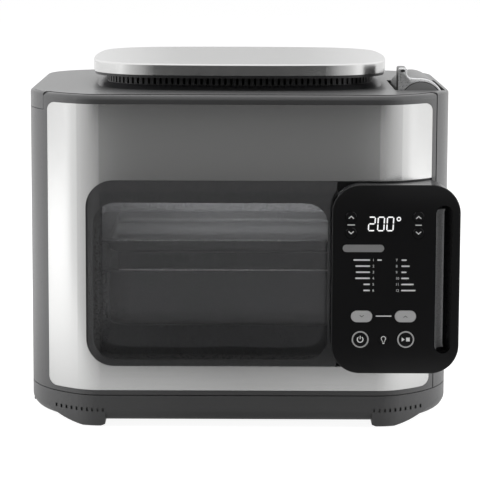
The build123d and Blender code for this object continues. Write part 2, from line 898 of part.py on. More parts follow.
# Reflector tray under the cavity floor
with BuildPart() as lower_reflector:
    block(
        (-cavity_half_width, cavity_half_width),
        (frame_y + frame_sheet, cavity_back_y),
        (reflector_bottom, cavity_floor - liner_wall),
    )
    block(
        (liner_wall - cavity_half_width, cavity_half_width - liner_wall),
        (frame_y + frame_sheet + liner_wall, cavity_back_y - liner_wall),
        (reflector_bottom + liner_wall, cavity_floor),
        Mode.SUBTRACT,
    )
finish(lower_reflector.part, "lower_reflector")

# Heater tube under the cavity floor, bent in a U
with BuildPart() as lower_element:
    element_z = cavity_floor - liner_wall - lower_element_radius - fit_gap
    element_back = cavity_back_y - lower_element_back_margin
    element_front = frame_y + lower_element_front_margin
    with BuildLine() as element_line:
        FilletPolyline(
            (-lower_element_half_width, element_back, element_z),
            (-lower_element_half_width, element_front, element_z),
            (lower_element_half_width, element_front, element_z),
            (lower_element_half_width, element_back, element_z),
            radius=lower_element_bend,
        )
    with BuildSketch(Plane(origin=element_line.line @ 0, z_dir=element_line.line % 0)):
        Circle(lower_element_radius)
    sweep()
finish(lower_element.part, "lower_element")

# Two heater rings round the fan, under the cavity ceiling
with BuildPart() as upper_element:
    for ring_radius in upper_element_rings:
        with Locations((0, fan_y, cavity_ceiling - element_radius - fit_gap)):
            Torus(ring_radius, element_radius)
finish(upper_element.part, "upper_element")

# Pierced guard that hangs from the ceiling below the fan
with BuildPart() as fan_guard:
    upright((0, fan_y), guard_radius, (guard_z, cavity_ceiling))
    upright(
        (0, fan_y),
        guard_radius - guard_sheet,
        (guard_z + guard_sheet, cavity_ceiling),
        Mode.SUBTRACT,
    )
    with BuildSketch(Plane.XY.offset(guard_z - past)):
        for ring in range(1, guard_rings + 1):
            with Locations((0, fan_y)):
                with PolarLocations(guard_hole_pitch * ring, guard_ring_holes * ring):
                    Circle(guard_hole_radius)
    extrude(amount=guard_sheet + 2 * past, mode=Mode.SUBTRACT)
finish(fan_guard.part, "fan_guard")

# Convection fan: a disc with radial blades below it
with BuildPart() as convection_fan:
    fan_top = fan_bottom + fan_height
    upright((0, fan_y), fan_radius, (fan_top - blade_thickness, fan_top))
    upright((0, fan_y), fan_hub_radius, (fan_bottom, fan_top))
    with Locations((0, fan_y, (fan_bottom + fan_top) / 2)):
        with PolarLocations((blade_start + fan_radius - blade_end_gap) / 2, fan_blades):
            Box(fan_radius - blade_end_gap - blade_start, blade_thickness, fan_height)
    upright(
        (0, fan_y),
        shaft_radius + shaft_clearance,
        (fan_bottom - past, fan_top + past),
        Mode.SUBTRACT,
    )
finish(convection_fan.part, "convection_fan")

# Shaft from the convection fan up through the motor to the cooling fan
with BuildPart() as motor_shaft:
    upright((0, fan_y), shaft_radius, (shaft_bottom, shaft_top))
finish(motor_shaft.part, "motor_shaft")

# Plate that carries the motor above the insulation
with BuildPart() as motor_bracket:
    block(
        (-bracket_half_width, bracket_half_width),
        (fan_y - bracket_half_width, fan_y + bracket_half_width),
        (insulation_top, insulation_top + bracket_sheet),
    )
    upright(
        (0, fan_y),
        shaft_hole_radius,
        (insulation_top - past, insulation_top + bracket_sheet + past),
        Mode.SUBTRACT,
    )
finish(motor_bracket.part, "motor_bracket")

# Fan motor
with BuildPart() as fan_motor:
    motor_bottom = insulation_top + bracket_sheet
    motor_top = motor_bottom + motor_height
    upright((0, fan_y), motor_radius, (motor_bottom, motor_top))
    fillet(fan_motor.faces().sort_by(Axis.Z)[-1].edges(), radius=motor_edge)
    upright(
        (0, fan_y),
        shaft_radius + shaft_clearance,
        (motor_bottom - past, motor_top + past),
        Mode.SUBTRACT,
    )
finish(fan_motor.part, "fan_motor")

# Cooling fan on the shaft, under the steel cap
with BuildPart() as cooling_fan:
    cooler_top = shaft_top - 1
    cooler_bottom = cooler_top - cooler_height
    upright((0, fan_y), cooler_radius, (cooler_bottom, cooler_bottom + blade_thickness))
    upright((0, fan_y), fan_hub_radius, (cooler_bottom, cooler_top))
    with Locations((0, fan_y, (cooler_bottom + cooler_top) / 2)):
        with PolarLocations((blade_start + cooler_radius - blade_end_gap) / 2, cooler_blades):
            Box(cooler_radius - blade_end_gap - blade_start, blade_thickness, cooler_height)
    upright(
        (0, fan_y),
        shaft_radius + shaft_clearance,
        (cooler_bottom - past, cooler_top + past),
        Mode.SUBTRACT,
    )
finish(cooling_fan.part, "cooling_fan")

# Deep pan on the middle rails, and shallow tray on the rails above it
for name, rim, depth, corner in (
    ("cooking_pan", pan_rim, pan_depth, pan_corner),
    ("bake_tray", tray_rim, tray_depth, tray_corner),
):
    with BuildPart() as vessel:
        with BuildSketch(Plane.XY.offset(rim - depth)):
            with Locations((0, pan_middle_y)):
                RectangleRounded(2 * pan_half_width, pan_length, corner)
        extrude(amount=depth)
        fillet(vessel.faces().sort_by(Axis.Z)[0].edges(), radius=min(pan_round, depth / 2))
        offset(amount=-pan_wall, openings=vessel.faces().sort_by(Axis.Z)[-1])
        with BuildSketch(Plane.XY.offset(rim - pan_wall)):
            with Locations((0, pan_middle_y)):
                RectangleRounded(
                    2 * (pan_half_width + pan_flange), pan_length + 2 * pan_lip, corner
                )
                RectangleRounded(
                    2 * (pan_half_width - pan_wall),
                    pan_length - 2 * pan_wall,
                    corner - pan_wall,
                    mode=Mode.SUBTRACT,
                )
        extrude(amount=pan_wall)
    finish(vessel.part, name)

# Cavity lamp: lens in the liner's wall and the holder behind it
with BuildPart() as lamp_lens:
    with BuildSketch(Plane.YZ.offset(cavity_half_width)):
        with Locations(lamp_place):
            Circle(lamp_radius - lamp_rim - snug)
    extrude(amount=liner_wall)
    with BuildSketch(Plane.YZ.offset(cavity_half_width + liner_wall)):
        with Locations(lamp_place):
            Circle(lamp_radius)
    extrude(amount=lamp_flange)
finish(lamp_lens.part, "lamp_lens")

with BuildPart() as lamp_holder:
    holder_x = cavity_half_width + liner_wall + lamp_flange
    with BuildSketch(Plane.YZ.offset(holder_x)):
        with Locations(lamp_place):
            Circle(lamp_radius)
    extrude(amount=lamp_depth)
    with BuildSketch(Plane.YZ.offset(holder_x)):
        with Locations(lamp_place):
            Circle(lamp_radius - lamp_rim)
            Circle(lamp_socket_radius, mode=Mode.SUBTRACT)
    extrude(amount=lamp_depth - lamp_rim, mode=Mode.SUBTRACT)
finish(lamp_holder.part, "lamp_holder")

# Temperature probe through the back wall of the cavity
with BuildPart() as temperature_probe:
    level_rod(
        probe_place,
        probe_radius,
        (cavity_back_y - probe_length, liner_back_y + probe_length),
    )
finish(temperature_probe.part, "temperature_probe")

# Power board on four posts of the base
with BuildPart() as power_board:
    board_z = base_floor + power_board_standoff
    with Locations((*power_board_place, board_z)):
        Box(*power_board_size, board_thickness, align=(Align.CENTER, Align.CENTER, Align.MIN))
    with Locations((power_board_place[0], power_board_place[1] + transformer_offset, board_z)):
        Box(*transformer_size, align=(Align.CENTER, Align.CENTER, Align.MIN))
    with Locations((power_board_place[0], power_board_place[1] + capacitor_offset, board_z)):
        with GridLocations(capacitor_pitch, capacitor_pitch, 2, 2):
            Cylinder(
                capacitor_radius,
                capacitor_height,
                align=(Align.CENTER, Align.CENTER, Align.MIN),
            )
finish(power_board.part, "power_board")

# Latch magnet behind the front frame
with BuildPart() as latch_magnet:
    block(
        (magnet_x - magnet_size[0] / 2, magnet_x + magnet_size[0] / 2),
        (frame_y + frame_sheet, frame_y + frame_sheet + magnet_size[1]),
        (magnet_z - magnet_size[2] / 2, magnet_z + magnet_size[2] / 2),
    )
finish(latch_magnet.part, "latch_magnet")

# Hinge pins and the washer that the door stands on
with BuildPart() as hinge_pin_bottom:
    upright(hinge_place, pin_radius, (bottom_pin_base, bottom_pin_base + pin_length))
finish(hinge_pin_bottom.part, "hinge_pin_bottom")

with BuildPart() as hinge_pin_top:
    upright(hinge_place, pin_radius, (top_pin_base, top_pin_base + pin_length))
finish(hinge_pin_top.part, "hinge_pin_top")

with BuildPart() as hinge_washer:
    upright(hinge_place, washer_radius, (base_top, door_bottom - pin_clearance))
    upright(hinge_place, pin_radius + pin_clearance, (base_top, door_bottom), Mode.SUBTRACT)
finish(hinge_washer.part, "hinge_washer")

# Bracket under the cover that carries the vent lever's pin
with BuildPart() as lever_bracket:
    bracket_front = drum_front_y - bracket_gap - bracket_plate
    bracket_back = drum_back_y + bracket_gap + bracket_plate
    bracket_x = (lever_x - bracket_width / 2, lever_x + bracket_width / 2)
    block(
        bracket_x,
        (bracket_front, bracket_back),
        (bracket_foot_z - bracket_plate, cover_underside),
    )
    block(
        bracket_x,
        (bracket_front + bracket_plate, bracket_back - bracket_plate),
        (bracket_foot_z, far + bracket_foot_z),
        Mode.SUBTRACT,
    )
    level_rod(
        (lever_x, lever_z),
        lever_pin_radius + lever_pin_fit,
        (bracket_front - past, bracket_back + past),
        Mode.SUBTRACT,
    )
finish(lever_bracket.part, "lever_bracket")

with BuildPart() as lever_pin:
    level_rod((lever_x, lever_z), lever_pin_radius, (bracket_front - past, bracket_back + past))
finish(lever_pin.part, "lever_pin")

# Vent lever: a half drum with end plates, and the fin that the hand turns
with BuildPart() as vent_lever:
    for start, end in (
        (drum_front_y, drum_front_y + lever_plate),
        (drum_back_y - lever_plate, drum_back_y),
    ):
        with BuildSketch(facing_front(start)):
            with Locations((lever_x, lever_z)):
                Circle(drum_radius)
            with Locations(Location((lever_x, lever_z), drum_low_angle)):
                Rectangle(
                    4 * drum_radius,
                    4 * drum_radius,
                    align=(Align.CENTER, Align.MAX),
                    mode=Mode.SUBTRACT,
                )
            with Locations((lever_x, lever_z)):
                Circle(lever_hub_radius)
        extrude(amount=start - end)
    with BuildSketch(facing_front(drum_front_y + lever_plate)):
        with Locations((lever_x, lever_z)):
            Circle(drum_radius)
            Circle(drum_radius - drum_wall, mode=Mode.SUBTRACT)
        with Locations(Location((lever_x, lever_z), drum_low_angle)):
            Rectangle(
                4 * drum_radius,
                4 * drum_radius,
                align=(Align.CENTER, Align.MAX),
                mode=Mode.SUBTRACT,
            )
    extrude(amount=drum_front_y - drum_back_y + 2 * lever_plate)
    fin_foot = sqrt(drum_radius**2 - fin_right**2) - drum_wall
    with BuildSketch(facing_front(drum_front_y)):
        with BuildLine():
            Polyline(
                (lever_x + fin_left, lever_z + fin_low),
                (lever_x + fin_left, lever_z + fin_top),
                (lever_x + fin_right, lever_z + fin_top),
                (lever_x + fin_right, lever_z + fin_foot),
                (lever_x + fin_left, lever_z + fin_low),
            )
        make_face()
    extrude(amount=-fin_depth)
    level_rod(
        (lever_x, lever_z),
        lever_pin_radius + pin_clearance,
        (drum_front_y - past, drum_back_y + past),
        Mode.SUBTRACT,
    )
finish(vent_lever.part, "vent_lever")

# Screws that hold the back panel in the housing
with BuildPart() as back_screws:
    with BuildSketch(facing_front(back_y - wall - screw_length)):
        with Locations(*screw_places):
            Circle(screw_radius)
    extrude(amount=-wall - screw_length)
    with BuildSketch(facing_front(back_y)):
        with Locations(*screw_places):
            Circle(screw_head_radius)
    extrude(amount=-screw_head_height)
finish(back_screws.part, "back_screws")

# Recesses in the door's face for the steel skin and for the outer glass
with BuildPart() as skin_recess:
    with BuildSketch(facing_front(front_y - past)):
        rounded_window(
            (skin_left_x - fit_gap, skin_right_x + fit_gap),
            (skin_bottom - fit_gap, skin_top + fit_gap),
            skin_corner,
        )
    extrude(amount=front_y - door_back_y)
    with BuildSketch(Plane.XY):
        add(body_plan(-2 * past))
        add(body_plan(skin_thickness + snug / 2), mode=Mode.SUBTRACT)
    extrude(amount=door_top, mode=Mode.INTERSECT)

with BuildPart() as glass_recess:
    with BuildSketch(facing_front(front_y - past)):
        rounded_window(
            (opening_left_x - snug, panel_right_x + opening_corner),
            (opening_bottom - snug, opening_top + snug),
            opening_corner,
        )
    extrude(amount=front_y - door_back_y)
    block((glass_right_x + snug, far), (front_y - past, door_back_y), (0, door_top), Mode.SUBTRACT)
    with BuildSketch(Plane.XY):
        add(body_plan(-2 * past))
        add(body_plan(fit_gap + glass_thickness + snug), mode=Mode.SUBTRACT)
    extrude(amount=door_top, mode=Mode.INTERSECT)

# Door frame: moulded front, rim round the cover, wing and barrel at the hinge
boss_places = [(-boss_x, boss_middle), (0, boss_high)]
boss_places += [(side * boss_x, level) for side in (-1, 1) for level in (boss_low, boss_high)]

with BuildPart() as door_bosses:
    with BuildSketch(facing_front(door_liner_y)):
        with Locations(*boss_places):
            Circle(boss_radius)
    extrude(amount=door_liner_y - front_y)
    with BuildSketch(Plane.XY):
        add(body_plan(2 * skin_thickness))
    extrude(amount=door_top, mode=Mode.INTERSECT)

with BuildPart() as door_frame:
    with BuildSketch(Plane.XY.offset(door_bottom)):
        with Locations((door_right_x - far, door_back_y - far)):
            Rectangle(2 * far, 2 * far)
        with Locations((-far, hinge_y - far)):
            Rectangle(2 * far, 2 * far)
        add(body_plan(wing_wall), mode=Mode.SUBTRACT)
        with Locations((door_right_x - far, door_back_y - far)):
            Rectangle(2 * far, 2 * far)
        with Locations(hinge_place):
            Circle(barrel_radius)
        add(body_plan(), mode=Mode.INTERSECT)
    extrude(amount=door_top - door_bottom)
    add(shoulder_form(door_top, rim_radius), mode=Mode.INTERSECT)
    with BuildSketch(facing_front(front_y)):
        rounded_window((-far, door_right_x), (0, door_top), rim_corner)
    extrude(amount=front_y - back_y, mode=Mode.INTERSECT)
    with BuildSketch(Plane.XY.offset(cover_underside - seam)):
        add(body_plan(rim_width))
    extrude(amount=far, mode=Mode.SUBTRACT)
    upright(
        hinge_place,
        hinge_block_radius + notch_gap,
        (hinge_block_bottom - notch_gap, far + door_top),
        Mode.SUBTRACT,
    )
    with BuildSketch(Plane.XY.offset(door_bottom + door_margin)) as pocket:
        add(body_plan(door_wall))
        with Locations(((pocket_left_x + door_right_x - door_margin) / 2, door_back_y - far)):
            Rectangle(door_right_x - door_margin - pocket_left_x, 2 * far, mode=Mode.INTERSECT)
    extrude(amount=hinge_block_bottom - wall - door_bottom - door_margin, mode=Mode.SUBTRACT)
    with BuildSketch(Plane.XY.offset(hinge_block_bottom - 2 * wall)):
        add(pocket.sketch_local)
        with Locations(hinge_place):
            Circle(hinge_block_radius + notch_gap + wall, mode=Mode.SUBTRACT)
    extrude(amount=cover_underside - seam + wall - hinge_block_bottom, mode=Mode.SUBTRACT)
    add(door_bosses.part)
    with BuildSketch(facing_front(door_liner_y - 2 * boss_radius)):
        with Locations(*boss_places):
            Circle(boss_hole_radius)
    extrude(amount=-2 * boss_radius - past, mode=Mode.SUBTRACT)
    add(skin_recess.part, mode=Mode.SUBTRACT)
    add(glass_recess.part, mode=Mode.SUBTRACT)
    with BuildSketch(facing_front(front_y - past)):
        rounded_window((clear_left_x, clear_right_x), (clear_bottom, clear_top), clear_corner)
    extrude(amount=front_y - past - door_back_y, mode=Mode.SUBTRACT)
    with BuildSketch(facing_front(front_y - past)):
        with Locations(
            ((housing_left_x + housing_side[-1][0]) / 2, (housing_bottom + housing_top) / 2)
        ):
            Rectangle(
                housing_side[-1][0] - housing_left_x + 2 * fit_gap,
                housing_top - housing_bottom + 2 * fit_gap,
            )
    extrude(amount=front_y - past - door_back_y, mode=Mode.SUBTRACT)
    upright(
        hinge_place,
        pin_radius + pin_clearance,
        (door_bottom - past, door_bottom + pin_engagement + snug),
        Mode.SUBTRACT,
    )
    upright(
        hinge_place,
        pin_radius + pin_clearance,
        (top_pin_base - snug, door_top),
        Mode.SUBTRACT,
    )
finish(door_frame.part, "door_frame")

# Steel skin wrapped over the door's face, open to the right for the window and the panel
with BuildPart() as steel_skin:
    with BuildSketch(facing_front(front_y - past)):
        rounded_window((skin_left_x, skin_right_x), (skin_bottom, skin_top), skin_corner)
        with Locations(
            (
                (opening_left_x + panel_right_x + opening_corner) / 2,
                (opening_bottom + opening_top) / 2,
            )
        ):
            RectangleRounded(
                panel_right_x + opening_corner - opening_left_x,
                opening_top - opening_bottom,
                opening_corner,
                mode=Mode.SUBTRACT,
            )
    extrude(amount=front_y - door_back_y)
    with BuildSketch(Plane.XY):
        add(body_plan())
        add(body_plan(skin_thickness), mode=Mode.SUBTRACT)
    extrude(amount=door_top, mode=Mode.INTERSECT)
finish(steel_skin.part, "steel_skin")

# Outer glass in the skin's opening
with BuildPart() as outer_glass:
    with BuildSketch(facing_front(front_y - past)):
        rounded_window(
            (opening_left_x + fit_gap, panel_right_x + opening_corner),
            (opening_bottom + fit_gap, opening_top - fit_gap),
            opening_corner - fit_gap,
        )
    extrude(amount=front_y - door_back_y)
    block((glass_right_x, far), (front_y - past, door_back_y), (0, door_top), Mode.SUBTRACT)
    with BuildSketch(Plane.XY):
        add(body_plan(fit_gap))
        add(body_plan(fit_gap + glass_thickness), mode=Mode.SUBTRACT)
    extrude(amount=door_top, mode=Mode.INTERSECT)
finish(outer_glass.part, "outer_glass")

# Inner side of the door: pressed liner, inner glass, gasket and latch keeper
with BuildPart() as door_liner:
    with BuildSketch(facing_front(door_liner_y)):
        rounded_window(
            (-door_liner_half_width, door_liner_half_width),
            (door_liner_bottom, door_liner_top),
            skin_corner,
        )
        with Locations((0, (inner_window_bottom + inner_window_top) / 2)):
            RectangleRounded(
                2 * inner_window_half_width,
                inner_window_top - inner_window_bottom,
                cavity_corner,
                mode=Mode.SUBTRACT,
            )
        with Locations(*boss_places):
            Circle(boss_hole_radius, mode=Mode.SUBTRACT)
    extrude(amount=-liner_sheet)
finish(door_liner.part, "door_liner")

with BuildPart() as inner_glass:
    with BuildSketch(facing_front(door_liner_y - inner_glass_thickness)):
        rounded_window(
            (
                -inner_window_half_width - inner_glass_margin,
                inner_window_half_width + inner_glass_margin,
            ),
            (inner_window_bottom - inner_glass_margin, inner_window_top + inner_glass_margin),
            cavity_corner,
        )
    extrude(amount=-inner_glass_thickness)
finish(inner_glass.part, "inner_glass")

with BuildPart() as door_gasket:
    inner = gasket_width
    outer = 2 * gasket_width
    with BuildSketch(facing_front(door_back_y)):
        rounded_window(
            (-cavity_half_width - outer, cavity_half_width + outer),
            (cavity_floor - outer, cavity_ceiling + outer),
            cavity_corner + outer,
        )
        with Locations((0, (cavity_floor + cavity_ceiling) / 2)):
            RectangleRounded(
                2 * (cavity_half_width + inner),
                cavity_ceiling - cavity_floor + 2 * inner,
                cavity_corner + inner,
                mode=Mode.SUBTRACT,
            )
    extrude(amount=door_back_y - frame_y + gasket_gap)
finish(door_gasket.part, "door_gasket")

with BuildPart() as latch_keeper:
    block(
        (magnet_x - magnet_size[0] / 2, magnet_x + magnet_size[0] / 2),
        (door_back_y, door_back_y + keeper_thickness),
        (magnet_z - magnet_size[2] / 2, magnet_z + magnet_size[2] / 2),
    )
finish(latch_keeper.part, "latch_keeper")

with BuildPart() as door_screws:
    with BuildSketch(facing_front(door_liner_y - screw_length / 2)):
        with Locations(*boss_places):
            Circle(boss_hole_radius - snug / 2)
    extrude(amount=-screw_length / 2 - liner_sheet)
    with BuildSketch(facing_front(door_back_y)):
        with Locations(*boss_places):
            Circle(screw_head_radius)
    extrude(amount=-keeper_thickness)
finish(door_screws.part, "door_screws")

# Control housing: the neck behind the panel, with its grip pocket and the space for the board
with BuildPart() as control_housing:
    with BuildSketch(facing_front(panel_back_y)):
        rounded_window(
            (panel_left_x + housing_inset, panel_right_x - housing_inset),
            (housing_bottom, housing_top),
            panel_corner - housing_inset,
        )
    extrude(amount=panel_back_y - housing_back_y)
    with BuildSketch(Plane.XY.offset(panel_bottom)):
        with BuildLine():
            Polyline(
                (housing_left_x, panel_back_y),
                *housing_side,
                (housing_side[-1][0], housing_back_y),
                (housing_left_x, housing_back_y),
                close=True,
            )
        make_face()
    extrude(amount=panel_top - panel_bottom, mode=Mode.INTERSECT)
    with BuildSketch(facing_front(panel_back_y)):
        rounded_window(
            (housing_left_x + housing_wall, electronics_right_x),
            (housing_bottom + 2 * housing_wall, housing_top - 2 * housing_wall),
            panel_corner - 4 * housing_wall,
        )
    extrude(amount=panel_back_y - housing_back_y + housing_wall, mode=Mode.SUBTRACT)
    with BuildSketch(Plane.XY.offset(slot_bottom)):
        with BuildLine():
            Polyline(
                (slot_left_x, panel_back_y - past),
                (slot_right_x, panel_back_y - past),
                grip_bend,
                (grip_floor_x[1], grip_floor_y),
                (grip_floor_x[0], grip_floor_y),
                close=True,
            )
        make_face()
    extrude(amount=slot_top - slot_bottom, mode=Mode.SUBTRACT)
finish(control_housing.part, "control_housing")

# Panel face with the grip slot, the buttons' holes and four posts for the board
with BuildPart() as control_panel:
    with BuildSketch(facing_front(panel_face_y)):
        rounded_window((panel_left_x, panel_right_x), (panel_bottom, panel_top), panel_corner)
    extrude(amount=-panel_thickness)
    fillet(control_panel.faces().sort_by(Axis.Y)[0].edges(), radius=panel_edge)
    with BuildSketch(facing_front(panel_face_y - past)):
        with Locations(((slot_left_x + slot_right_x) / 2, (slot_bottom + slot_top) / 2)):
            SlotOverall(slot_top - slot_bottom, slot_right_x - slot_left_x, rotation=90)
        for x, z, width, height in buttons.values():
            with Locations((panel_left_x + x, panel_bottom + z)):
                pill(width + 2 * button_gap, height + 2 * button_gap)
    extrude(amount=-panel_thickness - 2 * past, mode=Mode.SUBTRACT)
    with BuildSketch(facing_front(panel_back_y)):
        with Locations(*board_bosses):
            Circle(board_post_radius)
    extrude(amount=panel_back_y - board_y)
finish(control_panel.part, "control_panel")

# Control board with a switch behind each button, and the display in front of it
with BuildPart() as control_board:
    with BuildSketch(facing_front(board_y)):
        rounded_window(
            (board_left_x, board_right_x),
            (panel_bottom + board_end_inset, panel_top - board_end_inset),
            board_corner,
        )
    extrude(amount=-board_thickness)
    switch_y = panel_back_y + button_flange_thickness + button_travel + 2 * fit_gap
    with BuildSketch(facing_front(switch_y)):
        for x, z, width, height in buttons.values():
            with Locations((panel_left_x + x, panel_bottom + z)):
                Circle(switch_radius)
    extrude(amount=switch_y - board_y - board_thickness / 2)
finish(control_board.part, "control_board")

with BuildPart() as display_module:
    with BuildSketch(facing_front(panel_back_y)):
        with Locations((panel_left_x + display_place[0], panel_bottom + display_place[1])):
            Rectangle(*display_size)
    extrude(amount=panel_back_y - board_y)
finish(display_module.part, "display_module")

# Push buttons, each with a flange behind the panel
for name, (x, z, width, height) in buttons.items():
    place = (panel_left_x + x, panel_bottom + z)
    with BuildPart() as button:
        with BuildSketch(facing_front(panel_face_y - button_proud)):
            with Locations(place):
                pill(width, height)
        extrude(amount=panel_face_y - button_proud - panel_back_y - fit_gap)
        fillet(button.faces().sort_by(Axis.Y)[0].edges(), radius=button_proud)
        with BuildSketch(facing_front(panel_back_y + fit_gap / 2)):
            with Locations(place):
                pill(width + 2 * button_flange, height + 2 * button_flange)
        extrude(amount=-button_flange_thickness)
    finish(button.part, name)
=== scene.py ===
# %% [markdown]
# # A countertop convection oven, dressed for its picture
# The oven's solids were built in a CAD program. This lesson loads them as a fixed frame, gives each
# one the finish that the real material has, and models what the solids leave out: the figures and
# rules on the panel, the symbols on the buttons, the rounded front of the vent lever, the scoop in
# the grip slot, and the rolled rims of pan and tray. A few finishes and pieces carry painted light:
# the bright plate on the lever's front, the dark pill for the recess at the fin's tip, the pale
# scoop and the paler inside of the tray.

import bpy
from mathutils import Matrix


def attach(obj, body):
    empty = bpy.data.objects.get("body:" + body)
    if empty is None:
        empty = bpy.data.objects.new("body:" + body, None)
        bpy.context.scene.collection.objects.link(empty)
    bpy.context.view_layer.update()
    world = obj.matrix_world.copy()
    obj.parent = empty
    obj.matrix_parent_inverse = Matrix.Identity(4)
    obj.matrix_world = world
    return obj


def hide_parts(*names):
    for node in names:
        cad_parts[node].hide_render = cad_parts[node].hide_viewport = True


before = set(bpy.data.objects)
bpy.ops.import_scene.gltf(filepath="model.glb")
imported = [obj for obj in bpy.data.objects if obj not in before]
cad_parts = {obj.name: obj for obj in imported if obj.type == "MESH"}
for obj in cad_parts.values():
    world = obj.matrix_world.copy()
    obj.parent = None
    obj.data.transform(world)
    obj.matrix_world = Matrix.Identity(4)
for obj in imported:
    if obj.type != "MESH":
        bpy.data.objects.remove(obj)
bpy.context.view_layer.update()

# %% [markdown]
# ## Modules and units
# A bmesh is a mesh in the making, and bpy is the open scene. Blender works in metres. Drawings of
# small parts are easier to read in millimetres, so they are drawn that way and scaled by MM.

# %% Modules, the open scene and the length of a millimetre
import math

import bmesh
import bpy
from mathutils import Matrix, Vector

scene = bpy.context.scene
MM = 0.001
print("scene:", scene.name, "- one millimetre is", MM, "metres")

# %% [markdown]
# ## Camera
# The picture was taken with a long lens from just above the top of the oven. A long focal length
# keeps the upright edges nearly parallel, so the lens is 170 mm and the camera stands 2.2 m away.

# %% Camera at the picture's viewing angle
CAMERA_PLACE = (0.0, -2.369, 0.5076)
CAMERA_TURN, CAMERA_DIP, CAMERA_ROLL = -0.0004, 0.1444, 0.0035
LENS, SENSOR = 170.45, 36.0

camera_data = bpy.data.cameras.new("picture_camera")
camera_data.lens = LENS
camera_data.sensor_width = SENSOR
camera_data.clip_start = 0.05
camera_data.clip_end = 60.0
camera = bpy.data.objects.new("picture_camera", camera_data)
scene.collection.objects.link(camera)
camera.matrix_world = (
    Matrix.Translation(CAMERA_PLACE)
    @ Matrix.Rotation(CAMERA_TURN, 4, "Z")
    @ Matrix.Rotation(math.pi / 2 - CAMERA_DIP, 4, "X")
    @ Matrix.Rotation(CAMERA_ROLL, 4, "Z")
)
scene.camera = camera
print("camera at", tuple(round(v, 3) for v in camera.location))

# %% [markdown]
# ## Studio paper
# The oven stands on pale paper. White paper that only reflects would need lamps so strong that they
# flood the oven, so the paper glows a little by itself. Its glow is weaker near the oven than at
# the sides and at the back, and a Light Path node lets the camera alone see it brighter still.

# %% Brightness of the paper
PAPER_GREY = (0.25, 0.25, 0.25, 1.0)
NEAR_AND_FAR = (0.3, 1.6)
GLOW_NEAR_AND_FAR = (0.20, 0.42)
GLOW_SIDEWAYS = [(0.0, 0.20), (0.40, 0.50), (0.80, 0.80)]
GLOW_FOR_CAMERA = 0.92


def glow_along(ramp, steps, low, high):
    """Fills a colour ramp from a list of (place in metres, brightness) between low and high."""
    while len(ramp.elements) < len(steps):
        ramp.elements.new(0.5)
    for element, (place, shade) in zip(ramp.elements, steps):
        element.position = (place - low) / (high - low)
        element.color = (shade, shade, shade, 1.0)


def lit_paper():
    material = bpy.data.materials.new("studio_paper")
    material.use_nodes = True
    nodes = material.node_tree.nodes
    links = material.node_tree.links
    shader = nodes["Principled BSDF"]
    shader.inputs["Base Color"].default_value = PAPER_GREY
    shader.inputs["Roughness"].default_value = 0.9
    shader.inputs["Specular IOR Level"].default_value = 0.1
    shader.inputs["Emission Color"].default_value = (1.0, 1.0, 1.0, 1.0)
    place = nodes.new("ShaderNodeTexCoord")
    split = nodes.new("ShaderNodeSeparateXYZ")
    links.new(place.outputs["Object"], split.inputs["Vector"])
    towards_wall = nodes.new("ShaderNodeMapRange")
    towards_wall.inputs["From Min"].default_value = NEAR_AND_FAR[0]
    towards_wall.inputs["From Max"].default_value = NEAR_AND_FAR[1]
    towards_wall.inputs["To Min"].default_value = GLOW_NEAR_AND_FAR[0]
    towards_wall.inputs["To Max"].default_value = GLOW_NEAR_AND_FAR[1]
    links.new(split.outputs["Y"], towards_wall.inputs["Value"])
    off_middle = nodes.new("ShaderNodeMath")
    off_middle.operation = "ABSOLUTE"
    links.new(split.outputs["X"], off_middle.inputs[0])
    sideways = nodes.new("ShaderNodeValToRGB")
    glow_along(sideways.color_ramp, GLOW_SIDEWAYS, 0.0, 1.0)
    links.new(off_middle.outputs[0], sideways.inputs["Fac"])
    brighter = nodes.new("ShaderNodeMath")
    brighter.operation = "MAXIMUM"
    links.new(towards_wall.outputs["Result"], brighter.inputs[0])
    links.new(sideways.outputs["Color"], brighter.inputs[1])
    rays = nodes.new("ShaderNodeLightPath")
    glow = nodes.new("ShaderNodeMix")
    glow.inputs["B"].default_value = GLOW_FOR_CAMERA
    links.new(rays.outputs["Is Camera Ray"], glow.inputs["Factor"])
    links.new(brighter.outputs[0], glow.inputs["A"])
    links.new(glow.outputs["Result"], shader.inputs["Emission Strength"])
    return material


paper = lit_paper()
print("paper nodes:", len(paper.node_tree.nodes))

# %% [markdown]
# ## Floor
# Photographers hang a roll of paper so that it runs from the wall to the floor without a crease. It
# is made here from one flat sheet, whose back edge is spun up a quarter turn about a line above it.

# %% Floor that sweeps up into a wall, all in one pale sheet
FLOOR_HALF_WIDTH = 9.0
FLOOR_FRONT, FLOOR_BACK = -0.74, 7.0
BEND_RADIUS = 2.0


def pale_sweep():
    bm = bmesh.new()
    corners = [
        (-FLOOR_HALF_WIDTH, FLOOR_FRONT),
        (FLOOR_HALF_WIDTH, FLOOR_FRONT),
        (FLOOR_HALF_WIDTH, FLOOR_BACK),
        (-FLOOR_HALF_WIDTH, FLOOR_BACK),
    ]
    bm.faces.new([bm.verts.new((x, y, 0.0)) for x, y in corners])
    back_edges = [e for e in bm.edges if all(v.co.y > FLOOR_BACK - 0.1 for v in e.verts)]
    bmesh.ops.spin(
        bm,
        geom=back_edges,
        cent=(0.0, FLOOR_BACK, BEND_RADIUS),
        axis=(1.0, 0.0, 0.0),
        dvec=(0.0, 0.0, 0.0),
        angle=math.pi / 2,
        steps=12,
        use_merge=False,
        use_duplicate=False,
    )
    bmesh.ops.remove_doubles(bm, verts=bm.verts, dist=0.0001)
    bmesh.ops.recalc_face_normals(bm, faces=bm.faces)
    mesh = bpy.data.meshes.new("studio_floor")
    bm.to_mesh(mesh)
    bm.free()
    floor = bpy.data.objects.new("studio_floor", mesh)
    scene.collection.objects.link(floor)
    for polygon in mesh.polygons:
        polygon.use_smooth = True
    mesh.materials.append(paper)
    return floor


floor = pale_sweep()
print("floor:", tuple(round(v, 2) for v in floor.dimensions))

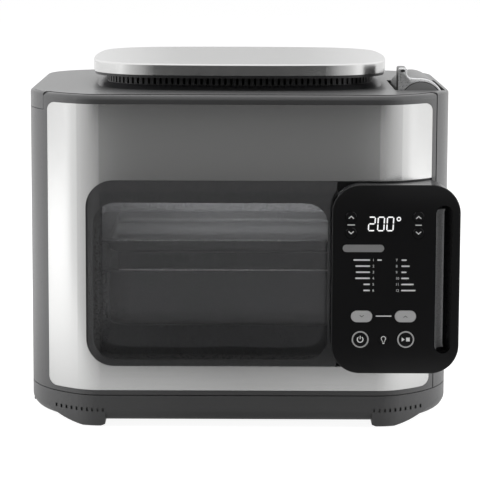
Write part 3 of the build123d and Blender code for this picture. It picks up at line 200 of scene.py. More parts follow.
# %% [markdown]
# ## Reflecting cards
# A steel door is a mirror for the studio: what it shows is what stands in front of it. Bright
# surroundings give the pale flanks, and a card that is dark in its middle gives the grey middle of
# the door. The cards are seen by reflections alone, so they never stand in the picture. The shades
# of a card go from its middle outwards: a dark middle, a step, and a slow rise to full light.

# %% Places of the cards in metres, and their shades as (metres from the middle, brightness)
CARD_REACH = 1.3
CARD_SIDE = 1.25
CARD_Y = -0.45
CARD_FOOT, CARD_JOINT, CARD_TOP = 0.001, 0.288, 0.42
STEEL_SHADES = [(0.148, 0.17), (0.16, 0.38), (0.40, 0.57), (1.20, 1.00)]
CAP_SHADES = [(0.19, 0.05), (0.35, 0.45), (1.05, 1.05)]
GLASS_SHADES = [(0.0, 0.02), (0.26, 0.02)]
print("shades on the card for the steel:", STEEL_SHADES)


# %% Cards that only reflections see
def reflection_card(name, corner_low, corner_high, y, shades):
    """A sheet in front of the oven that glows in shades from its middle outwards."""
    bm = bmesh.new()
    places = [
        (corner_low[0], corner_low[1]),
        (corner_high[0], corner_low[1]),
        (corner_high[0], corner_high[1]),
        (corner_low[0], corner_high[1]),
    ]
    bm.faces.new([bm.verts.new((x, y, z)) for x, z in places])
    mesh = bpy.data.meshes.new(name)
    bm.to_mesh(mesh)
    bm.free()
    card = bpy.data.objects.new(name, mesh)
    scene.collection.objects.link(card)
    material = bpy.data.materials.new(name)
    material.use_nodes = True
    nodes = material.node_tree.nodes
    links = material.node_tree.links
    shader = nodes["Principled BSDF"]
    shader.inputs["Base Color"].default_value = (0.0, 0.0, 0.0, 1.0)
    shader.inputs["Specular IOR Level"].default_value = 0.0
    shader.inputs["Emission Strength"].default_value = 1.0
    where = nodes.new("ShaderNodeTexCoord")
    split = nodes.new("ShaderNodeSeparateXYZ")
    links.new(where.outputs["Object"], split.inputs["Vector"])
    off_middle = nodes.new("ShaderNodeMath")
    off_middle.operation = "ABSOLUTE"
    links.new(split.outputs["X"], off_middle.inputs[0])
    across = nodes.new("ShaderNodeMapRange")
    across.inputs["From Max"].default_value = CARD_REACH
    links.new(off_middle.outputs[0], across.inputs["Value"])
    bands = nodes.new("ShaderNodeValToRGB")
    glow_along(bands.color_ramp, shades, 0.0, CARD_REACH)
    links.new(across.outputs["Result"], bands.inputs["Fac"])
    links.new(bands.outputs["Color"], shader.inputs["Emission Color"])
    mesh.materials.append(material)
    card.visible_camera = False
    card.visible_diffuse = False
    card.visible_shadow = False
    card.visible_transmission = False
    return card


cards = [
    reflection_card(
        "card_for_the_steel", (-CARD_SIDE, CARD_FOOT), (CARD_SIDE, CARD_JOINT), CARD_Y, STEEL_SHADES
    ),
    reflection_card(
        "card_for_the_cap", (-CARD_SIDE, CARD_JOINT), (CARD_SIDE, CARD_TOP), CARD_Y, CAP_SHADES
    ),
    reflection_card(
        "card_for_the_glass", (-0.165, 0.018), (0.250, 0.200), CARD_Y + 0.001, GLASS_SHADES
    ),
]
print("cards:", len(cards))

# %% [markdown]
# ## Sky of the studio
# The world behind everything does two jobs. Polished surfaces mirror it, and matt ones are lit by
# it. A Light Path node tells the two kinds of ray apart, so the mirrored sky can be bright while
# it lights the plastic only a little.

# %% Sky that is bright in reflections and faint as a light
SKY_MIRRORED = 1.12
SKY_LIGHTING = 0.12


def studio_world():
    world = bpy.data.worlds.new("studio_world")
    world.use_nodes = True
    nodes = world.node_tree.nodes
    links = world.node_tree.links
    background = nodes["Background"]
    background.inputs["Color"].default_value = (1.0, 1.0, 1.0, 1.0)
    rays = nodes.new("ShaderNodeLightPath")
    strength = nodes.new("ShaderNodeMapRange")
    strength.inputs["To Min"].default_value = SKY_MIRRORED
    strength.inputs["To Max"].default_value = SKY_LIGHTING
    links.new(rays.outputs["Is Diffuse Ray"], strength.inputs["Value"])
    links.new(strength.outputs["Result"], background.inputs["Strength"])
    scene.world = world


studio_world()
scene.view_settings.view_transform = "Standard"
scene.view_settings.look = "None"
print("world:", scene.world.name, "view:", scene.view_settings.view_transform)

# %% [markdown]
# ## Soft lamps
# Four large lamps stand above, at both sides and behind. A large lamp gives soft shadows. They are
# hidden from reflections, because the cards and the sky are what the steel shows.


# %% Lamps around the oven: place, aim, size and power in watts
def soft_lamp(name, place, aim, size, power):
    data = bpy.data.lights.new(name, "AREA")
    data.shape = "RECTANGLE"
    data.size = size[0]
    data.size_y = size[1]
    data.energy = power
    lamp = bpy.data.objects.new(name, data)
    scene.collection.objects.link(lamp)
    lamp.location = place
    direction = Vector(aim) - Vector(place)
    lamp.rotation_euler = direction.to_track_quat("-Z", "Y").to_euler()
    lamp.visible_glossy = False
    return lamp


studio_lamps = {
    "lamp_above": ((0.0, 0.4, 2.2), (0.0, 0.1, 0.0), (2.4, 2.0), 44.0),
    "lamp_left": ((-1.9, -0.2, 0.8), (0.0, 0.1, 0.2), (1.2, 1.4), 46.0),
    "lamp_right": ((1.9, -0.2, 0.8), (0.0, 0.1, 0.2), (1.2, 1.4), 46.0),
    "lamp_behind": ((0.0, 3.2, 1.8), (0.0, 3.0, 0.0), (6.0, 3.0), 60.0),
}
for name, (place, aim, size, power) in studio_lamps.items():
    soft_lamp(name, place, aim, size, power)
print("lamps:", len(studio_lamps))

# %% [markdown]
# ## Finishes
# Each finish starts from the same few nodes: a noise in object coordinates that shifts the colour
# and the roughness a little, and a finer noise that becomes a bump. The stretch of the noise makes
# the difference between a moulding's fine grain and the long lines of brushed steel.


# %% The maker of all finishes
def surface(
    name,
    colour,
    roughness,
    metallic=0.0,
    drift=0.08,
    drift_scale=(6.0, 6.0, 6.0),
    grain_scale=(900.0, 900.0, 900.0),
    grain=0.05,
    grain_depth=0.0002,
    rough_drift=0.06,
    **sockets,
):
    material = bpy.data.materials.new(name)
    material.use_nodes = True
    nodes = material.node_tree.nodes
    links = material.node_tree.links
    shader = nodes["Principled BSDF"]
    place = nodes.new("ShaderNodeTexCoord")

    slow_map = nodes.new("ShaderNodeMapping")
    slow_map.inputs["Scale"].default_value = drift_scale
    slow = nodes.new("ShaderNodeTexNoise")
    slow.inputs["Scale"].default_value = 1.0
    slow.inputs["Detail"].default_value = 4.0
    links.new(place.outputs["Object"], slow_map.inputs["Vector"])
    links.new(slow_map.outputs["Vector"], slow.inputs["Vector"])

    shade = nodes.new("ShaderNodeValToRGB")
    shade.color_ramp.elements[0].position = 0.3
    shade.color_ramp.elements[1].position = 0.7
    shade.color_ramp.elements[0].color = [max(0.0, c * (1 - drift)) for c in colour] + [1.0]
    shade.color_ramp.elements[1].color = [min(1.0, c * (1 + drift)) for c in colour] + [1.0]
    links.new(slow.outputs["Fac"], shade.inputs["Fac"])
    links.new(shade.outputs["Color"], shader.inputs["Base Color"])

    fine_map = nodes.new("ShaderNodeMapping")
    fine_map.inputs["Scale"].default_value = grain_scale
    fine = nodes.new("ShaderNodeTexNoise")
    fine.inputs["Scale"].default_value = 1.0
    fine.inputs["Detail"].default_value = 2.0
    links.new(place.outputs["Object"], fine_map.inputs["Vector"])
    links.new(fine_map.outputs["Vector"], fine.inputs["Vector"])

    rough = nodes.new("ShaderNodeMapRange")
    rough.inputs["From Min"].default_value = 0.3
    rough.inputs["From Max"].default_value = 0.7
    rough.inputs["To Min"].default_value = max(0.02, roughness - rough_drift)
    rough.inputs["To Max"].default_value = min(1.0, roughness + rough_drift)
    links.new(fine.outputs["Fac"], rough.inputs["Value"])
    links.new(rough.outputs["Result"], shader.inputs["Roughness"])

    bump = nodes.new("ShaderNodeBump")
    bump.inputs["Strength"].default_value = grain
    bump.inputs["Distance"].default_value = grain_depth
    links.new(fine.outputs["Fac"], bump.inputs["Height"])
    links.new(bump.outputs["Normal"], shader.inputs["Normal"])

    shader.inputs["Metallic"].default_value = metallic
    for socket, value in sockets.items():
        shader.inputs[socket.replace("_", " ")].default_value = value
    return material


# %% [markdown]
# ### Mouldings, steel, glass and the rest
# The grey moulding is a satin plastic with a fine spark-eroded grain. Steel is brushed along the
# width of the oven, so its noise is drawn out in X and tight in Y and Z.

# %% The finishes by name
grey_moulding = surface("satin_grey_moulding", (0.062, 0.062, 0.063), 0.33, grain=0.12)
# The lever's bright metallic finish is a painted highlight: a brighter copy of its own grey
# moulding.
lever_painted_highlight = surface("satin_grey_lever_painted_highlight", (0.86, 0.86, 0.865), 0.30, metallic=1.0)
lever_band_finish = surface("satin_lever_band", (0.38, 0.38, 0.382), 0.36, metallic=1.0)
dark_moulding = surface("dark_ring_moulding", (0.02, 0.02, 0.021), 0.38, grain=0.12)
neck_moulding = surface("dark_neck_moulding", (0.03, 0.03, 0.031), 0.30, grain=0.10)
brushed_steel = surface(
    "brushed_steel",
    (0.72, 0.72, 0.715),
    0.22,
    metallic=1.0,
    drift=0.012,
    drift_scale=(6.0, 1500.0, 1500.0),
    grain_scale=(16.0, 4200.0, 4200.0),
    grain=0.04,
    grain_depth=0.00003,
    rough_drift=0.03,
)
gloss_panel = surface(
    "gloss_black_panel",
    (0.0115, 0.0115, 0.012),
    0.16,
    grain=0.01,
    rough_drift=0.03,
    Specular_IOR_Level=0.3,
)
tinted_glass = surface(
    "tinted_outer_glass",
    (0.58, 0.58, 0.59),
    0.03,
    drift=0.01,
    grain=0.0,
    rough_drift=0.01,
    Transmission_Weight=1.0,
    IOR=1.45,
)
clear_glass = surface(
    "clear_inner_glass",
    (0.88, 0.89, 0.89),
    0.03,
    drift=0.01,
    grain=0.0,
    rough_drift=0.01,
    Transmission_Weight=1.0,
    IOR=1.45,
)
cavity_enamel = surface(
    "cavity_enamel",
    (0.10, 0.10, 0.102),
    0.30,
    metallic=0.55,
    drift=0.16,
    drift_scale=(9.0, 9.0, 9.0),
    grain=0.18,
    grain_depth=0.0004,
    grain_scale=(500.0, 500.0, 500.0),
    rough_drift=0.10,
)
non_stick = surface(
    "dark_non_stick",
    (0.010, 0.010, 0.0105),
    0.36,
    metallic=0.2,
    drift=0.15,
    grain=0.2,
    rough_drift=0.08,
)
plain_steel = surface(
    "plain_steel",
    (0.50, 0.50, 0.49),
    0.33,
    metallic=1.0,
    drift=0.10,
    grain_scale=(300.0, 300.0, 300.0),
    rough_drift=0.10,
)
dark_plate = surface("dark_back_plate", (0.06, 0.06, 0.061), 0.45, drift=0.10, grain=0.25)
heater_tube = surface(
    "oxidised_heater_tube",
    (0.14, 0.13, 0.125),
    0.48,
    metallic=0.7,
    drift=0.25,
    drift_scale=(60.0, 60.0, 60.0),
    grain=0.3,
)
motor_iron = surface(
    "coated_motor_iron", (0.09, 0.09, 0.095), 0.5, metallic=0.6, drift=0.15, grain=0.3
)
ferrite = surface("ferrite_magnet", (0.05, 0.05, 0.052), 0.6, drift=0.2, grain=0.4)
mineral_wool = surface(
    "pressed_mineral_wool",
    (0.52, 0.50, 0.43),
    0.95,
    drift=0.22,
    drift_scale=(160.0, 160.0, 40.0),
    grain=0.9,
    grain_depth=0.001,
    grain_scale=(420.0, 420.0, 90.0),
)
black_rubber = surface("black_foot_rubber", (0.022, 0.022, 0.022), 0.72, drift=0.2, grain=0.4)
seal_rubber = surface("door_seal_silicone", (0.10, 0.10, 0.10), 0.55, drift=0.12, grain=0.3)
bearing_plastic = surface("bearing_plastic", (0.62, 0.61, 0.57), 0.45, drift=0.05)
board_green = surface(
    "circuit_board",
    (0.02, 0.075, 0.035),
    0.42,
    drift=0.35,
    drift_scale=(120.0, 120.0, 120.0),
    grain=0.3,
)
button_cap = surface(
    "gloss_button_cap", (0.010, 0.010, 0.0105), 0.2, grain=0.02, Specular_IOR_Level=0.35
)
print("materials so far:", len(bpy.data.materials))

# %% [markdown]
# ### Finishes with two shades
# The real outer glass carries a black print round its clear middle. The frame right behind the
# glass is black there, so its finish darkens inside the window's outline and nowhere else. The
# shallow tray is seen from above through the window's upper part, and its inside looks paler there
# than its outside because light falls into it. Its finish paints that light: it is paler behind the
# rim. One helper makes both: it compares the Object coordinates with the sides of a box, and mixes
# in the other shade inside that box.


# %% A finish that changes its shade inside a box of the part
def two_tone(finish, name, ranges, colour):
    """A copy of a finish that takes another colour where X, Y and Z are all within their ranges."""
    material = finish.copy()
    material.name = name
    nodes = material.node_tree.nodes
    links = material.node_tree.links
    shader = nodes["Principled BSDF"]
    shade_link = shader.inputs["Base Color"].links[0]
    shade_socket = shade_link.from_socket
    place = nodes.new("ShaderNodeTexCoord")
    split = nodes.new("ShaderNodeSeparateXYZ")
    links.new(place.outputs["Object"], split.inputs["Vector"])

    def between(axis, low, high):
        above = nodes.new("ShaderNodeMath")
        above.operation = "GREATER_THAN"
        above.inputs[1].default_value = low
        below = nodes.new("ShaderNodeMath")
        below.operation = "LESS_THAN"
        below.inputs[1].default_value = high
        both = nodes.new("ShaderNodeMath")
        both.operation = "MULTIPLY"
        links.new(split.outputs[axis], above.inputs[0])
        links.new(split.outputs[axis], below.inputs[0])
        links.new(above.outputs[0], both.inputs[0])
        links.new(below.outputs[0], both.inputs[1])
        return both.outputs[0]

    sides = [between(axis, low, high) for axis, (low, high) in ranges.items()]
    whole = sides[0]
    for side in sides[1:]:
        both = nodes.new("ShaderNodeMath")
        both.operation = "MULTIPLY"
        links.new(whole, both.inputs[0])
        links.new(side, both.inputs[1])
        whole = both.outputs[0]
    mix = nodes.new("ShaderNodeMix")
    mix.data_type = "RGBA"
    mix.inputs["B"].default_value = (*colour, 1.0)
    links.new(whole, mix.inputs["Factor"])
    links.new(shade_socket, mix.inputs["A"])
    links.new(mix.outputs["Result"], shader.inputs["Base Color"])
    return material


BEHIND_THE_GLASS = {"X": (-0.1508, 0.200), "Y": (-0.170, -0.1285), "Z": (0.0612, 0.2465)}
INSIDE_THE_TRAY = {"X": (-0.2, 0.2), "Y": (-0.09, 0.2), "Z": (0.1, 0.3)}
frame_finish = two_tone(
    grey_moulding, "grey_frame_black_behind_glass", BEHIND_THE_GLASS, (0.02, 0.02, 0.0205)
)
# The paler inside of the tray is painted light, where light falls into it, not a second coating.
tray_painted_light_finish = two_tone(
    non_stick, "tray_with_painted_light_inside", INSIDE_THE_TRAY, (0.030, 0.030, 0.0305)
)
print("two shades:", frame_finish.name, tray_painted_light_finish.name)

# %% [markdown]
# ### Dressing the solids
# A solid whose shape is right only needs its finish. The table below names the finish of each one.

# %% Which solid gets which finish
dress = {
    "base_tray": grey_moulding,
    "outer_housing": grey_moulding,
    "vent_lever": lever_painted_highlight,
    "door_frame": frame_finish,
    "vent_ring": dark_moulding,
    "control_housing": neck_moulding,
    "steel_cap": brushed_steel,
    "steel_skin": brushed_steel,
    "control_panel": gloss_panel,
    "display_module": gloss_panel,
    "outer_glass": tinted_glass,
    "inner_glass": clear_glass,
    "lamp_lens": clear_glass,
    "front_frame": cavity_enamel,
    "oven_liner": cavity_enamel,
    "lower_reflector": cavity_enamel,
    "fan_guard": cavity_enamel,
    "convection_fan": cavity_enamel,
    "lamp_holder": cavity_enamel,
    "door_liner": cavity_enamel,
    "cooking_pan": non_stick,
    "bake_tray": tray_painted_light_finish,
    "lower_element": heater_tube,
    "upper_element": heater_tube,
    "back_panel": dark_plate,
    "cord_gland": dark_moulding,
    "motor_bracket": plain_steel,
    "cooling_fan": plain_steel,
    "motor_shaft": plain_steel,
    "temperature_probe": plain_steel,
    "hinge_pin_bottom": plain_steel,
    "hinge_pin_top": plain_steel,
    "lever_bracket": plain_steel,
    "lever_pin": plain_steel,
    "latch_keeper": plain_steel,
    "back_screws": plain_steel,
    "door_screws": plain_steel,
    "fan_motor": motor_iron,
    "latch_magnet": ferrite,
    "insulation_wrap": mineral_wool,
    "foot_pads": black_rubber,
    "door_gasket": seal_rubber,
    "hinge_washer": bearing_plastic,
    "control_board": board_green,
    "power_board": board_green,
}
button_names = [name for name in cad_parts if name.endswith("_button")]
for name in button_names:
    dress[name] = button_cap
for name, finish in dress.items():
    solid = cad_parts[name]
    solid.data.materials.clear()
    solid.data.materials.append(finish)
print("dressed", len(dress), "of", len(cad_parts))

# %% [markdown]
# ## Shapes drawn on a plane
# Symbols and figures are thin raised prints. Each is drawn as flat faces in the plane of the
# panel, in millimetres, and then pushed out to a thickness, as a stencil would print it.


# %% Rings, arcs, pills and chevrons
def flat_ring(bm, centre, outer, inner, steps=48):
    rims = []
    for radius in (outer, inner):
        made = bmesh.ops.create_circle(bm, cap_ends=False, segments=steps, radius=radius)
        bmesh.ops.translate(bm, verts=made["verts"], vec=(centre[0], centre[1], 0.0))
        rims += list({edge for vert in made["verts"] for edge in vert.link_edges})
    bmesh.ops.bridge_loops(bm, edges=rims)


def flat_arc(bm, centre, outer, inner, start, sweep, steps=20):
    ends = [
        bm.verts.new((centre[0] + r * math.cos(start), centre[1] + r * math.sin(start), 0.0))
        for r in (inner, outer)
    ]
    first = bm.edges.new(ends)
    bmesh.ops.spin(
        bm,
        geom=[first],
        cent=(centre[0], centre[1], 0.0),
        axis=(0.0, 0.0, 1.0),
        dvec=(0.0, 0.0, 0.0),
        angle=sweep,
        steps=steps,
        use_merge=False,
        use_duplicate=False,
    )


def flat_polygon(bm, points):
    bm.faces.new([bm.verts.new((x, z, 0.0)) for x, z in points])


def flat_pill(bm, centre, width, height, steps=12):
    half = height / 2
    reach = width / 2 - half
    points = []
    for side, start in ((1, -math.pi / 2), (-1, math.pi / 2)):
        for step in range(steps + 1):
            angle = start + math.pi * step / steps
            x = centre[0] + side * reach + half * math.cos(angle)
            points.append((x, centre[1] + half * math.sin(angle)))
    flat_polygon(bm, points)


def flat_chevron(bm, centre, width, height, line, way):
    half = width / 2
    x, z = centre
    points = [
        (x - half, z - way * height / 2),
        (x, z + way * height / 2),
        (x + half, z - way * height / 2),
        (x + half - line * 0.7, z - way * (height / 2 + line * 0.7)),
        (x, z + way * (height / 2 - line * 1.4)),
        (x - half + line * 0.7, z - way * (height / 2 + line * 0.7)),
    ]
    if way < 0:
        points.reverse()
    flat_polygon(bm, points)


trial = bmesh.new()
flat_pill(trial, (0.0, 0.0), 10.0, 4.0)
print("a pill is one face with", len(trial.verts), "corners")
trial.free()

# %% [markdown]
# ### From a drawing to a piece
# A drawing lies in the X and Y of its own sheet. Turning it a quarter about X stands it upright
# facing the front, and the scale brings it to metres. All of this is done in the mesh, so the
# object itself stays at the origin, unturned and unscaled, as the export needs it.


# %% Thickness, place and body of a piece
def printed(name, bm, y, thickness, body, finish):
    """Turns a flat drawing to face the front at one y, with its thickness towards the back."""
    bmesh.ops.remove_doubles(bm, verts=bm.verts, dist=0.001)
    bmesh.ops.recalc_face_normals(bm, faces=bm.faces)
    for face in bm.faces:
        if face.normal.z < 0:
            face.normal_flip()
    fronts = list(bm.faces)
    pushed = bmesh.ops.extrude_face_region(bm, geom=fronts)
    lifted = [v for v in pushed["geom"] if isinstance(v, bmesh.types.BMVert)]
    bmesh.ops.translate(bm, verts=lifted, vec=(0.0, 0.0, thickness))
    bmesh.ops.recalc_face_normals(bm, faces=bm.faces)
    bmesh.ops.transform(
        bm,
        matrix=Matrix.Translation((0.0, y * MM, 0.0))
        @ Matrix.Rotation(math.pi / 2, 4, "X")
        @ Matrix.Scale(MM, 4)
        @ Matrix.Translation((0.0, 0.0, -thickness)),
        verts=bm.verts,
    )
    return placed(name, bm, body, finish)


def placed(name, bm, body, finish, smooth_angle=None):
    mesh = bpy.data.meshes.new(name)
    bm.to_mesh(mesh)
    bm.free()
    piece = bpy.data.objects.new(name, mesh)
    scene.collection.objects.link(piece)
    mesh.materials.append(finish)
    if smooth_angle is not None:
        mesh.shade_smooth()
        mesh.set_sharp_from_angle(angle=smooth_angle)
    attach(piece, body)
    return piece


PRINT_THICKNESS = 0.1
PANEL_PRINT = -189.1
print("print on the panel stands at y", PANEL_PRINT, "mm and is", PRINT_THICKNESS, "mm thick")

# %% [markdown]
# ### Inks
# The display's figures are lit, so their finish gives off light. The print and the symbols are
# plain inks, from the pale one of the list to the faint one of the arcs round the arrows.

# %% Finishes of the display, the print and the grey keys
lit_white = surface(
    "lit_display_white",
    (0.8, 0.8, 0.8),
    0.5,
    drift=0.03,
    grain=0.0,
    Emission_Color=(1.0, 1.0, 1.0, 1.0),
    Emission_Strength=0.62,
)
pale_ink = surface("pale_symbol_ink", (0.80, 0.80, 0.80), 0.5, drift=0.10, grain=0.05)
grey_ink = surface("grey_ring_ink", (0.42, 0.42, 0.42), 0.45, drift=0.10, grain=0.05)
faint_ink = surface("faint_arc_ink", (0.055, 0.055, 0.056), 0.45, drift=0.10, grain=0.05)
dark_ink = surface("dark_symbol_ink", (0.07, 0.07, 0.07), 0.5, drift=0.10, grain=0.05)
pill_cap = surface("pale_grey_key", (0.50, 0.50, 0.50), 0.38, drift=0.05, grain=0.10)
mode_grey = surface("grey_mode_bar", (0.27, 0.27, 0.27), 0.42, drift=0.06, grain=0.06)
print("inks:", pale_ink.name, grey_ink.name, faint_ink.name, dark_ink.name)

# %% [markdown]
# ## Lit display
# The display is a row of seven-segment figures. Each segment is a bar with pointed ends, so that
# neighbours meet on a slant with a thin dark gap between them.

# %% Figures of the display
SEGMENTS = {"2": "abged", "0": "abcdef"}
SEGMENT_GAP = 0.28
FIRST_FIGURE, FIGURE_STEP, FIGURE_BOTTOM = 125.2, 8.9, 200.2
FIGURE_WIDTH, FIGURE_HEIGHT, FIGURE_LINE, FIGURE_LEAN = 6.0, 13.2, 1.2, 0.05
DEGREE_RING = (154.6, 211.6)
DISPLAY_FRONT, DISPLAY_THICKNESS = -189.12, 0.12


def seven_segment(bm, left, bottom, width, height, line, lean, figure):
    half = height / 2
    runs = {
        "a": ((0, height), (width, height)),
        "g": ((0, half), (width, half)),
        "d": ((0, 0), (width, 0)),
        "f": ((0, half), (0, height)),
        "b": ((width, half), (width, height)),
        "e": ((0, 0), (0, half)),
        "c": ((width, 0), (width, half)),
    }
    for name in SEGMENTS[figure]:
        (x0, z0), (x1, z1) = runs[name]
        along = Vector((x1 - x0, z1 - z0)).normalized()
        across = Vector((-along.y, along.x))
        first = Vector((x0, z0)) + along * SEGMENT_GAP
        last = Vector((x1, z1)) - along * SEGMENT_GAP
        inset = line / 2
        outline = [
            first,
            first + along * inset - across * inset,
            last - along * inset - across * inset,
            last,
            last - along * inset + across * inset,
            first + along * inset + across * inset,
        ]
        flat_polygon(bm, [(left + p.x + lean * p.y, bottom + p.y) for p in outline])


def display_figures():
    bm = bmesh.new()
    measures = (FIGURE_WIDTH, FIGURE_HEIGHT, FIGURE_LINE, FIGURE_LEAN)
    for index, figure in enumerate("200"):
        left = FIRST_FIGURE + FIGURE_STEP * index
        seven_segment(bm, left, FIGURE_BOTTOM, *measures, figure)
    flat_ring(bm, DEGREE_RING, 2.2, 1.2, 24)
    return printed(
        "display_figures", bm, DISPLAY_FRONT, DISPLAY_THICKNESS, "door", lit_white
    )


figures = display_figures()
print("display:", tuple(round(v * 1000, 1) for v in figures.dimensions))

# %% [markdown]
# ## Mode list
# Below the display is a grey bar, and under it two columns of six rows. Each row is a plain number
# with a short rule beside it. The numbers come from Blender's own font as a flat curve, which is
# made a mesh before it gets its place, so that all rows end up in one piece of print.


# %% Numbers from a font, made into a mesh before they get their place
def number_faces(bm, digits, x, z, height, align):
    curve = bpy.data.curves.new("number", "FONT")
    curve.body = digits
    curve.size = height
    curve.align_x = align
    curve.resolution_u = 3
    holder = bpy.data.objects.new("number", curve)
    scene.collection.objects.link(holder)
    bpy.context.view_layer.update()
    flat = bpy.data.meshes.new_from_object(holder)
    flat.transform(Matrix.Translation((x, z, 0.0)))
    bm.from_mesh(flat)
    bpy.data.objects.remove(holder)
    bpy.data.curves.remove(curve)
    bpy.data.meshes.remove(flat)


# %% Rows of the list, in millimetres
ROWS, FIRST_ROW, ROW_STEP = 6, 171.4, 5.98
NUMBER_HEIGHT, NUMBER_DROP = 3.5, 1.2
LEFT_NUMBERS, RIGHT_NUMBERS = 131.4, 152.2
LEFT_RULES_END, RIGHT_RULES_START = 127.4, 157.6
LEFT_RULES = (16.5, 14.5, 14.0, 14.5, 6.5, 6.5)
RIGHT_RULES = (5.2, 8.2, 5.2, 7.6, 12.4, 14.2)
RULE_HEIGHT = 1.5
ROW_MARK, ROW_MARK_SIZE = (136.4, FIRST_ROW), (4.6, 1.4)


def mode_list():
    bm = bmesh.new()
    for row in range(ROWS):
        z = FIRST_ROW - ROW_STEP * row
        foot = z - NUMBER_DROP
        left, right = LEFT_RULES[row], RIGHT_RULES[row]
        number_faces(bm, str(row + 1), LEFT_NUMBERS, foot, NUMBER_HEIGHT, "RIGHT")
        number_faces(bm, str(row + 1 + ROWS), RIGHT_NUMBERS, foot, NUMBER_HEIGHT, "LEFT")
        flat_pill(bm, (LEFT_RULES_END - left / 2, z), left, RULE_HEIGHT, 4)
        flat_pill(bm, (RIGHT_RULES_START + right / 2, z), right, RULE_HEIGHT, 4)
    flat_pill(bm, ROW_MARK, *ROW_MARK_SIZE, 4)
    return printed("mode_list", bm, PANEL_PRINT, PRINT_THICKNESS, "door", pale_ink)


modes = mode_list()
print("mode list faces:", len(modes.data.polygons))

# %% Grey bar above the list
BAR_CENTRE, BAR_SIZE, BAR_THICKNESS = (120.6, 182.8), (40.2, 7.2), 0.15


def mode_bar():
    bm = bmesh.new()
    flat_pill(bm, BAR_CENTRE, *BAR_SIZE, 16)
    front = PANEL_PRINT - 0.05
    return printed("mode_bar", bm, front, BAR_THICKNESS, "door", mode_grey)


print("grey bar:", tuple(round(v * 1000, 1) for v in mode_bar().dimensions))

# %% [markdown]
# ### Short rules between the keys
# Each pair of keys, for temperature, time and function, has a short pale rule between its two
# arrows. The three are one print, because they have one ink and one thickness.

# %% Rules between the keys: middle, then width and height
KEY_RULES = [
    ((108.5, 205.7), (7.4, 0.9)),
    ((173.8, 205.7), (6.4, 0.9)),
    ((141.0, 116.2), (15.5, 1.0)),
]


def key_marks():
    bm = bmesh.new()
    for middle, size in KEY_RULES:
        flat_pill(bm, middle, *size, 4)
    return printed("key_marks", bm, PANEL_PRINT, PRINT_THICKNESS, "door", pale_ink)


print("key rules:", len(KEY_RULES), "faces:", len(key_marks().data.polygons))

# %% [markdown]
# ## Symbols on the buttons
# Every symbol rides on its own button, so it travels with it when the button is pressed. The
# buttons' solids reach the very front of the oven's box, so a copy of each gets its face set back
# by the thickness of a symbol, and the symbol stands proud of it inside the same box.

# %% Button caps with their faces a tenth of a millimetre back
SYMBOL_STEP = 0.0001
KEY_PRINT = -189.3


def button_piece(name, finish):
    """A merged copy of the button's solid, with its front face moved back."""
    bm = bmesh.new()
    bm.from_mesh(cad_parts[name].data)
    bmesh.ops.remove_doubles(bm, verts=bm.verts, dist=0.00001)
    bmesh.ops.recalc_face_normals(bm, faces=bm.faces)
    front_y = min(vert.co.y for vert in bm.verts)
    face_verts = [vert for vert in bm.verts if vert.co.y < front_y + 0.00014]
    for vert in face_verts:
        vert.co.y = max(vert.co.y, front_y + SYMBOL_STEP)
    cap = placed(name + "_cap", bm, name, finish, math.radians(35))
    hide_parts(name)
    return cap


for name in button_names:
    finish = pill_cap if name.startswith("function") else button_cap
    button_piece(name, finish)
print("button caps:", len(button_names))

# %% [markdown]
# ### Power, lamp and start
# The three keys at the foot of the panel carry an open ring with a stroke, a small bulb, and an
# arrow beside a square. The outer two have a grey ring round them. An open ring is an edge spun
# part of the way round, and the bulb is such an arc over three small faces.


# %% Power, lamp and start symbols
POWER_CENTRE, START_CENTRE = (118.4, 93.0), (162.8, 93.1)
RING_RADII = (8.3, 6.9)


def key_print(name, bm, body, ink, thickness=PRINT_THICKNESS):
    """Prints a symbol on the key that it belongs to."""
    return printed(name, bm, KEY_PRINT, thickness, body, ink)


def power_symbol():
    bm = bmesh.new()
    flat_arc(bm, POWER_CENTRE, 3.3, 2.3, math.radians(125), math.radians(290), 28)
    flat_polygon(bm, [(117.95, 93.4), (118.85, 93.4), (118.85, 96.6), (117.95, 96.6)])
    return key_print("power_symbol", bm, "power_button", pale_ink)


def button_ring(name, centre, body):
    bm = bmesh.new()
    flat_ring(bm, centre, *RING_RADII, 64)
    return key_print(name, bm, body, grey_ink)


def lamp_symbol():
    bm = bmesh.new()
    flat_arc(bm, (141.1, 93.9), 2.5, 1.75, math.radians(-50), math.radians(280), 24)
    flat_polygon(bm, [(139.5, 92.5), (140.1, 92.0), (140.7, 90.4), (140.0, 90.4)])
    flat_polygon(bm, [(142.7, 92.5), (142.2, 90.4), (141.5, 90.4), (142.1, 92.0)])
    flat_polygon(bm, [(139.9, 89.9), (142.3, 89.9), (141.9, 88.7), (140.3, 88.7)])
    return key_print("lamp_symbol", bm, "light_button", pale_ink)


def start_symbol():
    bm = bmesh.new()
    flat_polygon(bm, [(158.9, 91.0), (161.9, 93.1), (158.9, 95.2)])
    flat_polygon(bm, [(163.2, 91.2), (166.8, 91.2), (166.8, 95.0), (163.2, 95.0)])
    return key_print("start_symbol", bm, "start_button", pale_ink)


foot_symbols = [
    power_symbol(),
    button_ring("power_ring", POWER_CENTRE, "power_button"),
    button_ring("start_ring", START_CENTRE, "start_button"),
    lamp_symbol(),
    start_symbol(),
]
print("symbols at the foot:", [symbol.name for symbol in foot_symbols])

# %% [markdown]
# ### Arrows
# The temperature and time keys each have a pale arrow with faint arcs round it. The two function
# keys have a small dark arrow on a grey cap. One drawing serves all: it takes a size, the thickness
# of its line and whether it points up or down.

